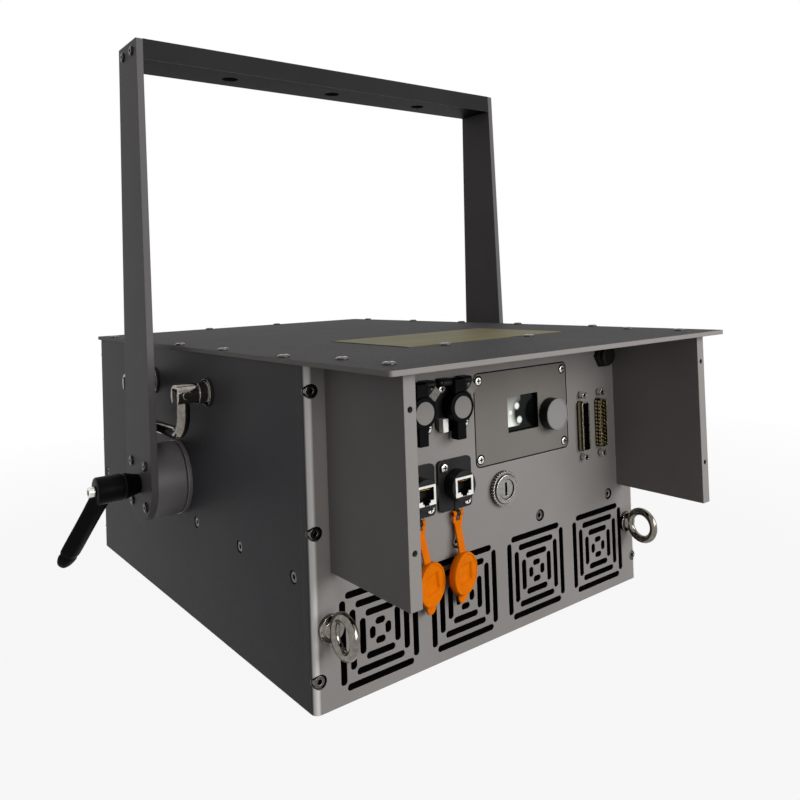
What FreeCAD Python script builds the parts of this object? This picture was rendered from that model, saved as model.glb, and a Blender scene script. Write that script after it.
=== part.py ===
import FreeCAD, Part
import math
import os

# Laser show projector, in millimetres.
# +Z is up, +Y is the rear with the connectors, -Y is the front with the output window.
# The origin lies under the middle of the whole outline, on the surface that the case stands on.

# Case of aluminium plates
case_width = 300.0
case_depth = 402.0
case_height = 200.0
side_thickness = 8.0
end_thickness = 10.0
bottom_thickness = 4.0
edge_radius = 4.6
bench_thickness = 10.0
overrun = 1.0
fit = 0.1
running_fit = 0.05
turning_gap = 0.3

# Roof plate and the bare plate stuck on it
roof_thickness = 3.0
roof_side_overhang = 1.0
roof_front_overhang = 4.0
roof_rear_reach = 85.5
roof_corner_radius = 2.0
blank_plate_width = 150.0
blank_plate_depth = 95.0
blank_plate_thickness = 0.5
blank_plate_shift = -10.0
blank_plate_inset = 13.0

# Hood wings that stand out behind the rear plate
wing_length = 76.7
wing_thickness = 7.8
wing_inset = 13.0
wing_bench_gap = 0.5
wing_hole_radius = 1.65
wing_hole_depth = 12.0
wing_hole_shares = (0.24, 0.843)
wing_roof_screw_shares = (0.18, 0.78)

# Button-head screws of the roof
roof_screw_head_radius = 3.8
roof_screw_head_height = 1.5
roof_screw_radius = 2.0
roof_screw_length = 12.0
roof_screw_socket = 2.5
roof_screw_side_shares = (-0.42, -0.2, 0.0, 0.2, 0.42)
roof_screw_end_share = 0.133

# Socket screws of the case, sunk in counterbores
panel_screw_head_radius = 3.5
panel_screw_head_height = 4.0
panel_screw_radius = 2.0
panel_screw_length = 14.0
panel_screw_socket = 3.0
counterbore_radius = 4.3
counterbore_depth = 4.6
side_screw_count = 6
side_screw_rear_inset = 21.5
side_screw_front_inset = 13.5
bench_screw_shares = (0.28, 0.83)
corner_screw_shares = (0.0925, 0.515, 0.925)
bottom_screw_head_radius = 3.9
bottom_screw_head_height = 2.0
head_round_share = 0.6
button_round_share = 0.9
socket_depth_share = 0.55

# Pan-head screws of the fittings
fitting_screw_head_radius = 3.0
fitting_screw_head_height = 1.8
fitting_screw_radius = 1.5
fitting_screw_length = 8.0
fitting_screw_cross = 0.9
cross_span_share = 1.2

# Fan grilles: rings of four slots round a small square
grille_count = 4
grille_ring_count = 4
grille_inner_half = 5.8
grille_edge_gap = 1.05
grille_slot_width = 4.3
grille_tip_gap = 2.2

# Fans
fan_gap = 8.8
fan_floor_gap = 1.6
fan_bench_gap = 2.9
fan_depth = 25.0
fan_corner_radius = 4.0
fan_wall = 1.2
fan_hole_inset = 5.0
fan_screw_radius = 2.0
fan_screw_bite = 6.0
fan_strut_width = 4.0
fan_strut_thickness = 3.0
fan_strut_angles = (45.0, 135.0, 225.0, 315.0)
fan_hub_radius = 13.5
fan_hub_wall = 2.0
fan_hub_gap = 1.0
fan_shaft_radius = 1.5
fan_bearing_radius = 4.0
fan_bearing_length = 13.0
fan_blade_count = 7
fan_blade_thickness = 1.4
fan_blade_chord = 18.0
fan_blade_angle = 38.0
fan_tip_gap = 0.8
fan_end_gap = 2.5

# Heat sink under the bench
heatsink_side_gap = 16.0
heatsink_base = 8.0
heatsink_front_gap = 25.0
heatsink_fan_gap = 14.0
heatsink_floor_gap = 3.0
fin_count = 20
fin_thickness = 2.4
rail_thickness = 9.0
rail_screw_inset = 30.0

# Output window in the front plate
window_width = 120.0
window_height_share = 0.576
window_lip = 8.0
glass_thickness = 4.0
frame_border = 17.0
frame_thickness = 2.0
frame_radius = 5.0
frame_screw_inset = 4.5

# Optics on the bench
beam_height = 24.0
laser_count = 3
laser_length_share = 0.241
laser_height = 46.0
laser_gap = 3.0
laser_side_gap = 17.0
laser_lid_thickness = 3.0
laser_nose_radius = 7.0
laser_nose_length = 9.0
laser_mirror_gap = 16.0
mirror_line = 71.0
mirror_width = 22.0
mirror_height = 20.0
mirror_thickness = 3.0
mirror_angle = 45.0
mount_width = 26.0
mount_depth = 8.0
mount_foot = 6.0
galvo_motor_radius = 9.0
galvo_motor_length = 38.0
galvo_collar_radius = 5.0
galvo_collar_length = 3.0
galvo_wall = 5.0
galvo_clamp_length = 26.0
galvo_mirror_gap = 10.0
galvo_rise = 16.0
galvo_shaft_radius = 1.5
galvo_shaft_bite = 16.0
galvo_mirror_length = 12.0
galvo_mirror_width = 10.0
galvo_mirror_thickness = 1.5

# Power supply and boards on the bench
supply_width = 92.0
supply_length_share = 0.393
supply_height = 46.0
supply_side_gap = 8.0
supply_rear_gap = 42.0
terminal_length = 14.0
terminal_height = 18.0
board_thickness = 1.6
spacer_radius = 3.0
spacer_height = 8.0
spacer_inset = 5.0
control_board_length_share = 0.272
scan_board_length_share = 0.262
scan_board_gap = 11.0
board_side_gap = 10.0
board_middle_gap = 14.0
board_front_gap = 18.0
chip_height = 4.0
chip_shares = ((0.12, 0.34, 0.2, 0.42), (0.45, 0.6, 0.25, 0.4))
block_height = 14.0
block_shares = ((0.12, 0.88, 0.86, 0.96), (0.7, 0.9, 0.15, 0.7))

# Round flange fittings of the rear plate
flange_width = 28.6
flange_height = 33.2
flange_thickness = 2.0
flange_radius = 3.0
flange_screw_x = 19.0
flange_screw_z = 24.0
flange_side_gap = 2.9
fitting_body_radius = 11.8
fitting_body_length = 28.0
power_level_share = 0.701
data_level_share = 0.278

# Power connectors with spring lids
power_corner_radius = 6.0
power_barrel_radius = 9.0
power_barrel_length = 3.6
power_bore_radius = 7.0
power_insert_radius = 4.0
power_key_width = 4.2
power_key_height = 8.6
power_key_reach = 4.5
power_key_side = 8.0
power_key_drop = 7.0
lid_radius = 10.2
lid_gap = 0.4
lid_thickness = 8.2
lid_disc_radius = 7.2
lid_disc_height = 0.5
lid_round = 1.2
lid_tab_width = 7.0
lid_tab_reach = 21.0
lid_pin_rise = 16.4
lid_pin_out = 6.4
lid_pin_radius = 1.0
lid_knuckle_radius = 2.4
lid_knuckle_width = 9.0
hinge_ear_width = 7.6
hinge_side_gap = 0.3

# Network sockets with tethered rubber caps
data_barrel_radius = 10.2
data_barrel_length = 11.3
data_barrel_round = 0.8
jack_width = 15.0
jack_height = 12.6
jack_depth = 9.4
jack_hole_width = 11.8
jack_hole_height = 8.0
jack_hole_depth = 8.2
jack_notch_width = 6.4
jack_notch_height = 1.6
jack_step_width = 4.0
jack_step_height = 1.3
lug_width = 3.0
lug_height = 7.0
tether_eye_drop = 2.4
tether_eye_out = 2.8
tether_eye_radius = 2.0
tether_pin_radius = 0.9
tether_lug_width = 2.6
tether_fork_width = 8.4
tether_side_gap = 0.3
tether_width = 5.6
tether_thickness = 1.8
tether_taper_share = 6.0
cap_radius = 13.6
cap_thickness = 5.4
cap_back = 4.6
cap_drop = 57.0
cap_rim_width = 1.6
cap_rim_depth = 0.6
cap_tab_width = 10.0
cap_tab_reach = 19.6
cap_turn_angle = 16.0
cap_lean_angles = (0.0, 5.5)

# Multi-pin data ports, set upright
port_flange_width = 12.5
port_flange_height = 53.0
port_flange_thickness = 1.2
port_web = 1.6
port_cut_gap = 0.3
port_corner_radius = 1.5
port_shell_height = 38.6
port_shell_width = 8.4
port_shell_reach = 5.5
port_shell_wall = 0.6
port_shell_slant = 1.5
port_shell_radius = 2.4
port_body_height = 39.0
port_body_width = 9.6
port_body_length = 16.0
port_side_gap = 8.6
port_control_gap = 9.2
port_wing_gap = 13.25
port_level_share = 0.436
port_pin_radius = 0.5
port_pin_pitch = 2.76
port_pin_row = 2.84
port_pin_length = 5.0
port_pin_count = 13
jack_screw_spacing = 47.04
jack_screw_width = 4.75
jack_screw_length = 5.0

# Control plate with display and rotary knob
control_width_share = 0.362
control_height_share = 0.525
control_thickness = 3.0
control_radius = 4.0
control_flange_gap = 6.7
control_level_share = 0.588
control_gap = 0.5
control_screw_inset_x = 4.2
control_screw_inset_z = 5.05
control_bore_radius = 3.6
control_bore_depth = 1.0
control_opening_gap = 2.5
display_width_share = 0.33
display_height_share = 0.4
display_radius = 1.0
display_glass_border = 3.0
display_glass_thickness = 2.4
display_board_border = 6.0
knob_side_share = 0.295
knob_drop = 4.3
knob_radius = 11.5
knob_height = 7.6
knob_gap = 1.0
knob_round = 0.8
knob_cavity_radius = 6.5
knob_cavity_depth = 5.4
knob_dimple_depth = 0.4
knob_rim = 1.2
knob_travel = 0.5
encoder_width = 12.5
encoder_depth = 7.5
encoder_wall = 1.6
encoder_bush_radius = 3.5
encoder_bush_length = 4.5
encoder_shaft_radius = 3.0
encoder_shaft_flat = 1.5
encoder_rotor_radius = 4.4
encoder_rotor_thickness = 2.2

# Key switch
key_side_share = 0.25
key_level_share = 0.181
key_ring_radius = 12.0
key_ring_height = 3.6
key_bezel_radius = 9.9
key_bezel_height = 1.2
key_bezel_round = 0.6
key_barrel_radius = 7.0
key_barrel_sink = 0.8
key_barrel_length = 20.0
key_slot_width = 2.2
key_slot_height = 9.0
key_slot_depth = 12.0
key_body_radius = 9.4
key_body_length = 30.0
key_nut_radius = 13.0
key_nut_height = 4.0
key_knurl_count = 36
key_knurl_radius = 0.6

# Pressure vent plug
vent_wing_gap = 12.7
vent_level_share = 0.86
vent_hex = 17.0
vent_hex_height = 4.0
vent_dome_radius = 7.5
vent_dome_height = 4.0
vent_dome_round = 1.5
vent_thread_radius = 6.0
vent_nut_radius = 9.0
vent_nut_height = 4.0

# Eye bolts
eye_inset = 11.4
eye_level = 47.5
eye_thread_radius = 4.0
eye_thread_length = 9.0
eye_collar_radius = 8.0
eye_collar_height = 3.0
eye_ring_radius = 10.8
eye_wire_radius = 2.9
eye_out = 15.6

# Side handles: a bail hung in two posts on each side
post_spacing = 108.0
post_shift = 6.8
handle_level_share = 0.773
post_flange_radius = 9.5
post_flange_thickness = 2.0
post_neck_radius = 6.6
post_head_start = 9.5
post_head_end = 24.0
post_head_radius = 7.5
post_groove_width = 1.2
post_spigot_radius = 3.0
post_spigot_length = 6.0
post_slot_gap = 0.5
pin_out = 18.0
pin_radius = 1.8
pin_head_radius = 2.9
pin_head_height = 0.8
bail_radius = 4.4
bail_eye_radius = 4.55
bail_drop_share = 0.2354
bail_bend = 15.0
bail_slot_reach = 5.0

# Yoke
pivot_level_share = 0.193
yoke_height = 434.0
yoke_side_gap = 25.5
arm_thickness = 5.0
arm_pivot_width = 56.0
arm_top_width = 40.0
arm_edge_round = 1.0
bar_thickness = 15.6
bar_hole_radius = 6.5
bar_hole_spacing = 98.0
bar_screw_spacing = 20.0
drum_radius = 27.5
drum_round = 1.5
drum_screw_spacing = 30.0
yoke_screw_length = 14.0

# Pivot studs and clamping levers
stud_flange_radius = 28.0
stud_flange_thickness = 3.0
stud_radius = 5.0
stud_inner_radius = 7.0
stud_nut_radius = 13.0
stud_nut_height = 6.0
stud_bite = 24.1
friction_gap = 0.1
lever_gap = 0.4
hub_root_radius = 7.0
hub_radius = 10.0
hub_length = 31.0
hub_root_share = 0.35
hub_round = 1.0
lever_out = 24.0
lever_length = 63.0
lever_drop_angle = 25.0
lever_root_share = 0.78
lever_half_width = 8.0
lever_half_depth = 5.6
lever_place_shares = (0.0, 0.25, 0.5, 0.75, 0.92, 1.0)
lever_size_shares = (1.0, 0.94, 0.95, 1.0, 0.82, 0.34)
lever_screw_head_radius = 3.9
lever_screw_head_height = 4.4
lever_screw_radius = 2.5
lever_screw_bite = 8.0
lever_screw_socket = 4.0

# Places that follow from the sizes
rear_y = (case_depth + roof_front_overhang - roof_rear_reach) / 2
front_y = rear_y - case_depth
middle_y = (rear_y + front_y) / 2
inner_rear = rear_y - end_thickness
inner_front = front_y + end_thickness
half_width = case_width / 2
inner_half = half_width - side_thickness
roof_top = case_height + roof_thickness
wing_centre = half_width - wing_inset - wing_thickness / 2
wing_inner = half_width - wing_inset - wing_thickness
wing_end = rear_y + wing_length
eye_place = half_width - eye_inset

fan_front = inner_rear - fan_depth
fan_size = (2 * inner_half - fan_gap * (grille_count + 1)) / grille_count
fan_duct_radius = fan_size / 2 - fan_wall
fan_hole_pitch = fan_size - 2 * fan_hole_inset
grille_pitch = fan_size + fan_gap
grille_outer_half = fan_size / 2 - grille_edge_gap - grille_slot_width / 2
grille_ring_pitch = (grille_outer_half - grille_inner_half) / (grille_ring_count - 1)
grille_level = bottom_thickness + fan_floor_gap + fan_size / 2
bench_bottom = grille_level + fan_size / 2 + fan_bench_gap
bench_level = bench_bottom + bench_thickness / 2
bench_top = bench_bottom + bench_thickness
wing_bottom = bench_top + wing_bench_gap
bay_height = case_height - bench_top
window_height = window_height_share * bay_height
window_level = bench_top + bay_height / 2
beam_level = bench_top + beam_height
galvo_y = inner_front + mirror_line
galvo_top = beam_level + galvo_rise
galvo_side = galvo_motor_radius + galvo_wall
galvo_start = galvo_mirror_gap + galvo_collar_length
bench_length = inner_rear - inner_front
laser_row = inner_half - laser_side_gap - galvo_side - laser_gap
laser_pitch = (laser_row + laser_gap) / laser_count
laser_width = laser_pitch - laser_gap
laser_length = laser_length_share * bench_length
laser_front = galvo_y + mirror_width / 2 + laser_mirror_gap
supply_length = supply_length_share * bench_length
control_board_width = inner_half - board_side_gap - board_middle_gap
control_board_length = control_board_length_share * bench_length
scan_board_width = inner_half - board_side_gap - galvo_start - galvo_clamp_length - scan_board_gap
scan_board_length = scan_board_length_share * bench_length

port_pitch = port_flange_width + port_side_gap
port_column = -wing_inner + port_wing_gap + port_flange_width / 2 + port_pitch
port_level = bench_top + port_level_share * bay_height
control_width = control_width_share * 2 * wing_inner
control_height = control_height_share * bay_height
control_column = port_column + port_flange_width / 2 + port_control_gap + control_width / 2
control_level = bench_top + control_level_share * bay_height
control_screw_x = control_width - 2 * control_screw_inset_x
control_screw_z = control_height - 2 * control_screw_inset_z
display_width = display_width_share * control_width
display_height = display_height_share * control_height
knob_column = control_column - knob_side_share * control_width
knob_level = control_level - knob_drop
key_column = control_column + key_side_share * control_width
key_level = bench_top + key_level_share * bay_height
fitting_pitch = flange_width + flange_side_gap
fitting_column = control_column + control_width / 2 + control_flange_gap + flange_width / 2
power_level = bench_top + power_level_share * bay_height
data_level = bench_top + data_level_share * bay_height
vent_column = -wing_inner + vent_wing_gap
vent_level = bench_top + vent_level_share * bay_height

pivot_level = bench_top + pivot_level_share * bay_height
handle_level = bench_top + handle_level_share * bay_height
bail_drop = bail_drop_share * bay_height
arm_inner = half_width + yoke_side_gap
arm_outer = arm_inner + arm_thickness
hub_start = arm_outer + lever_gap
stud_end = hub_start + stud_bite

V = FreeCAD.Vector
X_AXIS = V(1, 0, 0)
Y_AXIS = V(0, 1, 0)
Z_AXIS = V(0, 0, 1)
ORIGIN = V(0, 0, 0)


def block(x0, x1, y0, y1, z0, z1):
    return Part.makeBox(x1 - x0, y1 - y0, z1 - z0, V(x0, y0, z0))


def rod(x, y, z, axis, radius, length):
    """A cylinder from the point x, y, z along the axis."""
    return Part.makeCylinder(radius, length, V(x, y, z), axis)


def fuse(first, *others):
    return first.fuse(list(others)).removeSplitter()


def mirrored(shape):
    return shape.mirror(ORIGIN, X_AXIS)


def turned(shape, centre, axis, angle):
    copy = shape.copy()
    copy.rotate(centre, axis, angle)
    return copy


def moved(shape, x, y, z):
    copy = shape.copy()
    copy.translate(V(x, y, z))
    return copy


def placed(shape, x, y, z, outward):
    """A shape made on the Z axis, set at x, y, z with its Z axis turned to outward."""
    copy = shape.copy()
    copy.Placement = FreeCAD.Placement(V(x, y, z),
                                       FreeCAD.Rotation(Z_AXIS, outward)).multiply(copy.Placement)
    return copy


def edges_along(shape, axis, keep):
    """The straight edges that run along the axis and whose middle passes the test."""
    found = []
    for edge in shape.Edges:
        if isinstance(edge.Curve, Part.Line):
            direction = edge.tangentAt(edge.FirstParameter)
            if abs(direction.dot(axis)) > 1 - 1e-6 and keep(edge.CenterOfMass):
                found.append(edge)
    return found


def circle_edges(shape, radius, keep):
    """The full circles of one radius whose centre passes the test."""
    found = []
    for edge in shape.Edges:
        if isinstance(edge.Curve, Part.Circle) and edge.isClosed():
            if abs(edge.Curve.Radius - radius) < running_fit and keep(edge.Curve.Center):
                found.append(edge)
    return found


def rounded_block(x0, x1, y0, y1, z0, z1, axis, radius):
    """A block whose four edges along the axis are rounded."""
    shape = block(x0, x1, y0, y1, z0, z1)
    return shape.makeFillet(radius, edges_along(shape, axis, lambda middle: True))


def hexagon(width, height):
    """A six-sided prism on the Z axis, by its width across flats."""
    reach = width / math.sqrt(3)
    angles = [math.pi / 3 * side for side in range(7)]
    points = [V(reach * math.cos(a), reach * math.sin(a), 0) for a in angles]
    return Part.Face(Part.makePolygon(points)).extrude(V(0, 0, height))


def socket_screw(head_radius, head_height, radius, length, socket, round_share):
    """A screw on the Z axis, with the seat of its head at zero and a hexagon socket."""
    head = Part.makeCylinder(head_radius, head_height)
    head = head.makeFillet(head_height * round_share, circle_edges(head, head_radius, lambda c: c.z > 0))
    shank = Part.makeCylinder(radius, length, V(0, 0, -length))
    depth = head_height * socket_depth_share
    return fuse(head, shank).cut(moved(hexagon(socket, depth + overrun), 0, 0, head_height - depth))


def cross_screw(radius, length):
    """A pan-head screw on the Z axis with a cross recess."""
    height = fitting_screw_head_height
    screw = socket_screw(fitting_screw_head_radius, height, radius, length, fitting_screw_cross,
                         head_round_share)
    span = fitting_screw_head_radius * cross_span_share / 2
    half = fitting_screw_cross / 2
    depth = height * (1 - socket_depth_share)
    bars = [block(-span, span, -half, half, depth, height + overrun),
            block(-half, half, -span, span, depth, height + overrun)]
    return screw.cut(bars)


def flat_screw():
    """A countersunk screw on the Z axis, flush at zero."""
    cone = Part.makeCone(panel_screw_radius, bottom_screw_head_radius, bottom_screw_head_height,
                         V(0, 0, -bottom_screw_head_height))
    shank = Part.makeCylinder(panel_screw_radius, panel_screw_length, V(0, 0, -panel_screw_length))
    depth = bottom_screw_head_height * socket_depth_share
    return fuse(cone, shank).cut(moved(hexagon(roof_screw_socket, depth + overrun), 0, 0, -depth))


roof_screw = socket_screw(roof_screw_head_radius, roof_screw_head_height, roof_screw_radius,
                          roof_screw_length, roof_screw_socket, button_round_share)
yoke_screw = socket_screw(roof_screw_head_radius, roof_screw_head_height, roof_screw_radius,
                          yoke_screw_length, roof_screw_socket, button_round_share)
panel_screw = socket_screw(panel_screw_head_radius, panel_screw_head_height, panel_screw_radius,
                           panel_screw_length, panel_screw_socket, 1 - button_round_share)
fitting_screw = cross_screw(fitting_screw_radius, fitting_screw_length)
fan_screw = cross_screw(fan_screw_radius, fan_depth + fan_screw_bite)

# Places of the fasteners
side_line = half_width - side_thickness / 2
roof_side_places = [(side * side_line, middle_y + share * case_depth)
                    for side in (-1, 1) for share in roof_screw_side_shares]
roof_rear_places = [(side * roof_screw_end_share * case_width, inner_rear + end_thickness / 2)
                    for side in (-1, 1)]
roof_front_places = [(side * roof_screw_end_share * case_width, inner_front - end_thickness / 2)
                     for side in (-1, 1)]
roof_wing_places = [(side * wing_centre, rear_y + share * wing_length)
                    for side in (-1, 1) for share in wing_roof_screw_shares]
roof_places = roof_side_places + roof_rear_places + roof_front_places + roof_wing_places

side_screw_first = rear_y - side_screw_rear_inset
side_screw_last = front_y + side_screw_front_inset
side_screw_step = (side_screw_last - side_screw_first) / (side_screw_count - 1)
side_screw_places = [side_screw_first + side_screw_step * index for index in range(side_screw_count)]
bench_screw_places = [side * share * inner_half for side in (-1, 1) for share in bench_screw_shares]
corner_screw_places = [(side * side_line, share * case_height) for side in (-1, 1)
                       for share in corner_screw_shares]
end_screw_places = corner_screw_places + [(x, bench_level) for x in bench_screw_places]

power_places = [(fitting_column + fitting_pitch * index, power_level) for index in range(2)]
data_places = [(fitting_column + fitting_pitch * index, data_level) for index in range(2)]
port_places = [(port_column - port_pitch * index, port_level) for index in range(2)]
control_screw_places = [(control_column + a * control_screw_x / 2, control_level + b * control_screw_z / 2)
                        for a in (-1, 1) for b in (-1, 1)]
fan_places = [grille_pitch * (index - (grille_count - 1) / 2) for index in range(grille_count)]
fan_screw_places = [(x + s * fan_hole_pitch / 2, grille_level + s * fan_hole_pitch / 2)
                    for x in fan_places for s in (-1, 1)]
laser_first = galvo_side + laser_gap + laser_width / 2
laser_places = [laser_first + laser_pitch * index for index in range(laser_count)]
post_places = [middle_y + post_shift + side * post_spacing / 2 for side in (-1, 1)]
stud_places = [(-1, V(-1, 0, 0)), (1, X_AXIS)]

heatsink_front = inner_front + heatsink_front_gap
heatsink_rear = fan_front - heatsink_fan_gap
heatsink_half = inner_half - heatsink_side_gap
rail_centre = heatsink_half - rail_thickness / 2
bottom_screw_places = [(side * rail_centre, y) for side in (-1, 1)
                       for y in (heatsink_front + rail_screw_inset, heatsink_rear - rail_screw_inset)]
frame_half_width = window_width / 2 + frame_border
frame_half_height = window_height / 2 + frame_border
frame_screw_places = [(a * (frame_half_width - frame_screw_inset),
                       window_level + b * (frame_half_height - frame_screw_inset))
                      for a in (-1, 0, 1) for b in (-1, 1)]


def flange_screws(places):
    """Screws on one diagonal of each square flange: upper left and lower right from behind."""
    return [(x + s * flange_screw_x / 2, z + s * flange_screw_z / 2) for x, z in places for s in (-1, 1)]


def bores(places, radius, start, length, axis):
    """Plain holes along Y at x, z places."""
    return [rod(x, start, z, axis, radius, length) for x, z in places]


def counterbores(places, face, inward):
    """Clearance holes with a counterbore from the face, for the case screws along Y."""
    tools = []
    for x, z in places:
        start = face - inward.y * overrun
        tools.append(rod(x, start, z, inward, counterbore_radius, counterbore_depth + overrun))
        tools.append(rod(x, start, z, inward, panel_screw_radius + fit, end_thickness + overrun * 2))
    return tools


def slot(length, width, depth):
    """A round-ended slot in the XZ plane, running along X and cut along Y."""
    half = (length - width) / 2
    r = width / 2
    right = Part.Arc(V(half, 0, r), V(half + r, 0, 0), V(half, 0, -r)).toShape()
    left = Part.Arc(V(-half, 0, -r), V(-half - r, 0, 0), V(-half, 0, r)).toShape()
    top = Part.makeLine(V(-half, 0, r), V(half, 0, r))
    bottom = Part.makeLine(V(half, 0, -r), V(-half, 0, -r))
    return Part.Face(Part.Wire([top, right, bottom, left])).extrude(V(0, depth, 0))


def grille_slots(face_start):
    """All the slots of the fan grilles through one end plate."""
    tools = []
    depth = end_thickness + overrun * 2
    for x in fan_places:
        for ring in range(grille_ring_count):
            half = grille_inner_half + grille_ring_pitch * ring
            piece = moved(slot(2 * (half - grille_tip_gap), grille_slot_width, depth), 0,
                          face_start - overrun, half)
            for quarter in range(4):
                spun = turned(piece, ORIGIN, Y_AXIS, 90 * quarter)
                tools.append(moved(spun, x, 0, grille_level))
    return tools


def end_plate(y0, y1, outer):
    """One end plate with its outer upright edges rounded."""
    plate = block(-half_width, half_width, y0, y1, 0, case_height)
    edges = edges_along(plate, Z_AXIS, lambda middle: abs(middle.y - outer) < overrun)
    return plate.makeFillet(edge_radius, edges)


def roof_taps(places):
    """Holes for the roof screws in the top edges of the plates below."""
    depth = roof_screw_length - roof_thickness + overrun
    return [rod(x, y, case_height - depth, Z_AXIS, roof_screw_radius + fit, depth + overrun) for x,
            y in places]


def rear_plate():
    plate = end_plate(inner_rear, rear_y, rear_y)
    through = end_thickness + overrun * 2
    start = inner_rear - overrun
    tools = grille_slots(inner_rear) + counterbores(end_screw_places, rear_y,
                                                    -Y_AXIS) + roof_taps(roof_rear_places)
    tools += bores(power_places + data_places, fitting_body_radius + fit, start, through, Y_AXIS)
    screws = flange_screws(power_places + data_places) + control_screw_places
    tools += bores(screws, fitting_screw_radius + fit, start, through, Y_AXIS)
    jack_screws = [(x, z + s * jack_screw_spacing / 2) for x, z in port_places for s in (-1, 1)]
    tools += bores(jack_screws, fitting_screw_radius + fit, start, through, Y_AXIS)
    for x, z in port_places:
        w, h = port_flange_width / 2 + fit, port_flange_height / 2 + fit
        tools.append(block(x - w, x + w, start, rear_y - port_web, z - h, z + h))
        tools.append(moved(port_shell(-port_cut_gap, through), x, start, z))
    tools.append(rod(key_column, start, key_level, Y_AXIS, key_body_radius + fit, through))
    tools.append(rod(vent_column, start, vent_level, Y_AXIS, vent_thread_radius + fit, through))
    tools += [rod(s * eye_place, rear_y + overrun, eye_level, -Y_AXIS, eye_thread_radius + fit,
                  eye_thread_length + overrun) for s in (-1, 1)]
    tools += bores(fan_screw_places, fan_screw_radius + fit, start, fan_screw_bite + overrun * 2, Y_AXIS)
    w, h = control_width / 2 + control_gap, control_height / 2 + control_gap
    tools.append(rounded_block(control_column - w, control_column + w, rear_y - control_thickness,
                               rear_y + overrun,
                               control_level - h, control_level + h, Y_AXIS, control_radius + control_gap))
    w = control_column - knob_column + encoder_width / 2 + control_opening_gap
    h = display_height / 2 + display_board_border + control_opening_gap
    tools.append(block(control_column - w, control_column + w, start, rear_y, control_level - h,
                       control_level + h))
    return plate.cut(tools)


def front_plate():
    plate = end_plate(front_y, inner_front, front_y)
    through = end_thickness + overrun * 2
    start = front_y - overrun
    tools = grille_slots(front_y) + counterbores(end_screw_places, front_y,
                                                 Y_AXIS) + roof_taps(roof_front_places)
    w, h = window_width / 2, window_height / 2
    tools.append(block(-w, w, start, start + through, window_level - h, window_level + h))
    w, h = w + window_lip + fit, h + window_lip + fit
    tools.append(block(-w, w, start, front_y + glass_thickness, window_level - h, window_level + h))
    tools += bores(frame_screw_places, fitting_screw_radius + fit, start, fitting_screw_length + overrun,
                   Y_AXIS)
    return plate.cut(tools)


def side_panel():
    """The panel on the +X side."""
    panel = block(inner_half, half_width, inner_front, inner_rear, 0, case_height)
    tools = roof_taps([place for place in roof_side_places if place[0] > 0])
    through = side_thickness + overrun * 2
    for y in side_screw_places:
        tools.append(rod(half_width + overrun, y, bench_level, -X_AXIS, counterbore_radius,
                         counterbore_depth + overrun))
        tools.append(rod(half_width + overrun, y, bench_level, -X_AXIS, panel_screw_radius + fit, through))
    bite = panel_screw_length - (end_thickness - counterbore_depth) + overrun
    for share in corner_screw_shares:
        for y, axis in ((inner_front - overrun, Y_AXIS), (inner_rear + overrun, -Y_AXIS)):
            tools.append(rod(side_line, y, share * case_height, axis, panel_screw_radius + fit,
                             bite + overrun))
    tools.append(rod(half_width + overrun, middle_y, pivot_level, -X_AXIS, stud_inner_radius + fit, through))
    for y in post_places:
        tools.append(rod(half_width + overrun, y, handle_level, -X_AXIS, post_spigot_radius + fit,
                         post_spigot_length + overrun))
    return panel.cut(tools)


def bench_plate():
    """The plate that carries the optics and closes the fan duct below it."""
    plate = block(-inner_half, inner_half, inner_front, inner_rear, bench_bottom, bench_top)
    side_bite = panel_screw_length - (side_thickness - counterbore_depth) + overrun
    end_bite = panel_screw_length - (end_thickness - counterbore_depth) + overrun
    radius = panel_screw_radius + fit
    tools = []
    for y in side_screw_places:
        tools.append(rod(-inner_half - overrun, y, bench_level, X_AXIS, radius, side_bite + overrun))
        tools.append(rod(inner_half + overrun, y, bench_level, -X_AXIS, radius, side_bite + overrun))
    for x in bench_screw_places:
        tools.append(rod(x, inner_rear + overrun, bench_level, -Y_AXIS, radius, end_bite + overrun))
        tools.append(rod(x, inner_front - overrun, bench_level, Y_AXIS, radius, end_bite + overrun))
    return plate.cut(tools)


def bottom_plate():
    plate = block(-inner_half, inner_half, inner_front, inner_rear, 0, bottom_thickness)
    tools = []
    for x, y in bottom_screw_places:
        tools.append(Part.makeCone(bottom_screw_head_radius + fit, panel_screw_radius + fit,
                                   bottom_screw_head_height, V(x, y, 0)))
        tools.append(rod(x, y, -overrun, Z_AXIS, panel_screw_radius + fit, bottom_thickness + overrun * 2))
    return plate.cut(tools)


def roof_plate():
    w = half_width + roof_side_overhang
    plate = rounded_block(-w, w, front_y - roof_front_overhang, rear_y + roof_rear_reach,
                          case_height, roof_top, Z_AXIS, roof_corner_radius)
    return plate.cut([rod(x, y, case_height - overrun, Z_AXIS, roof_screw_radius + fit,
                          roof_thickness + overrun * 2)
                      for x, y in roof_places])


def blank_plate():
    x0 = blank_plate_shift - blank_plate_width / 2
    y1 = rear_y - blank_plate_inset
    return block(x0, x0 + blank_plate_width, y1 - blank_plate_depth, y1, roof_top,
                 roof_top + blank_plate_thickness)


def wing():
    """The wing on the +X side, with two tapped holes in its end."""
    x0, x1 = wing_centre - wing_thickness / 2, wing_centre + wing_thickness / 2
    plate = block(x0, x1, rear_y, wing_end, wing_bottom, case_height)
    tools = roof_taps([place for place in roof_wing_places if place[0] > 0])
    for share in wing_hole_shares:
        z = wing_bottom + share * (case_height - wing_bottom)
        tools.append(rod(wing_centre, wing_end + overrun, z, -Y_AXIS, wing_hole_radius,
                         wing_hole_depth + overrun))
    return plate.cut(tools)


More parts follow.
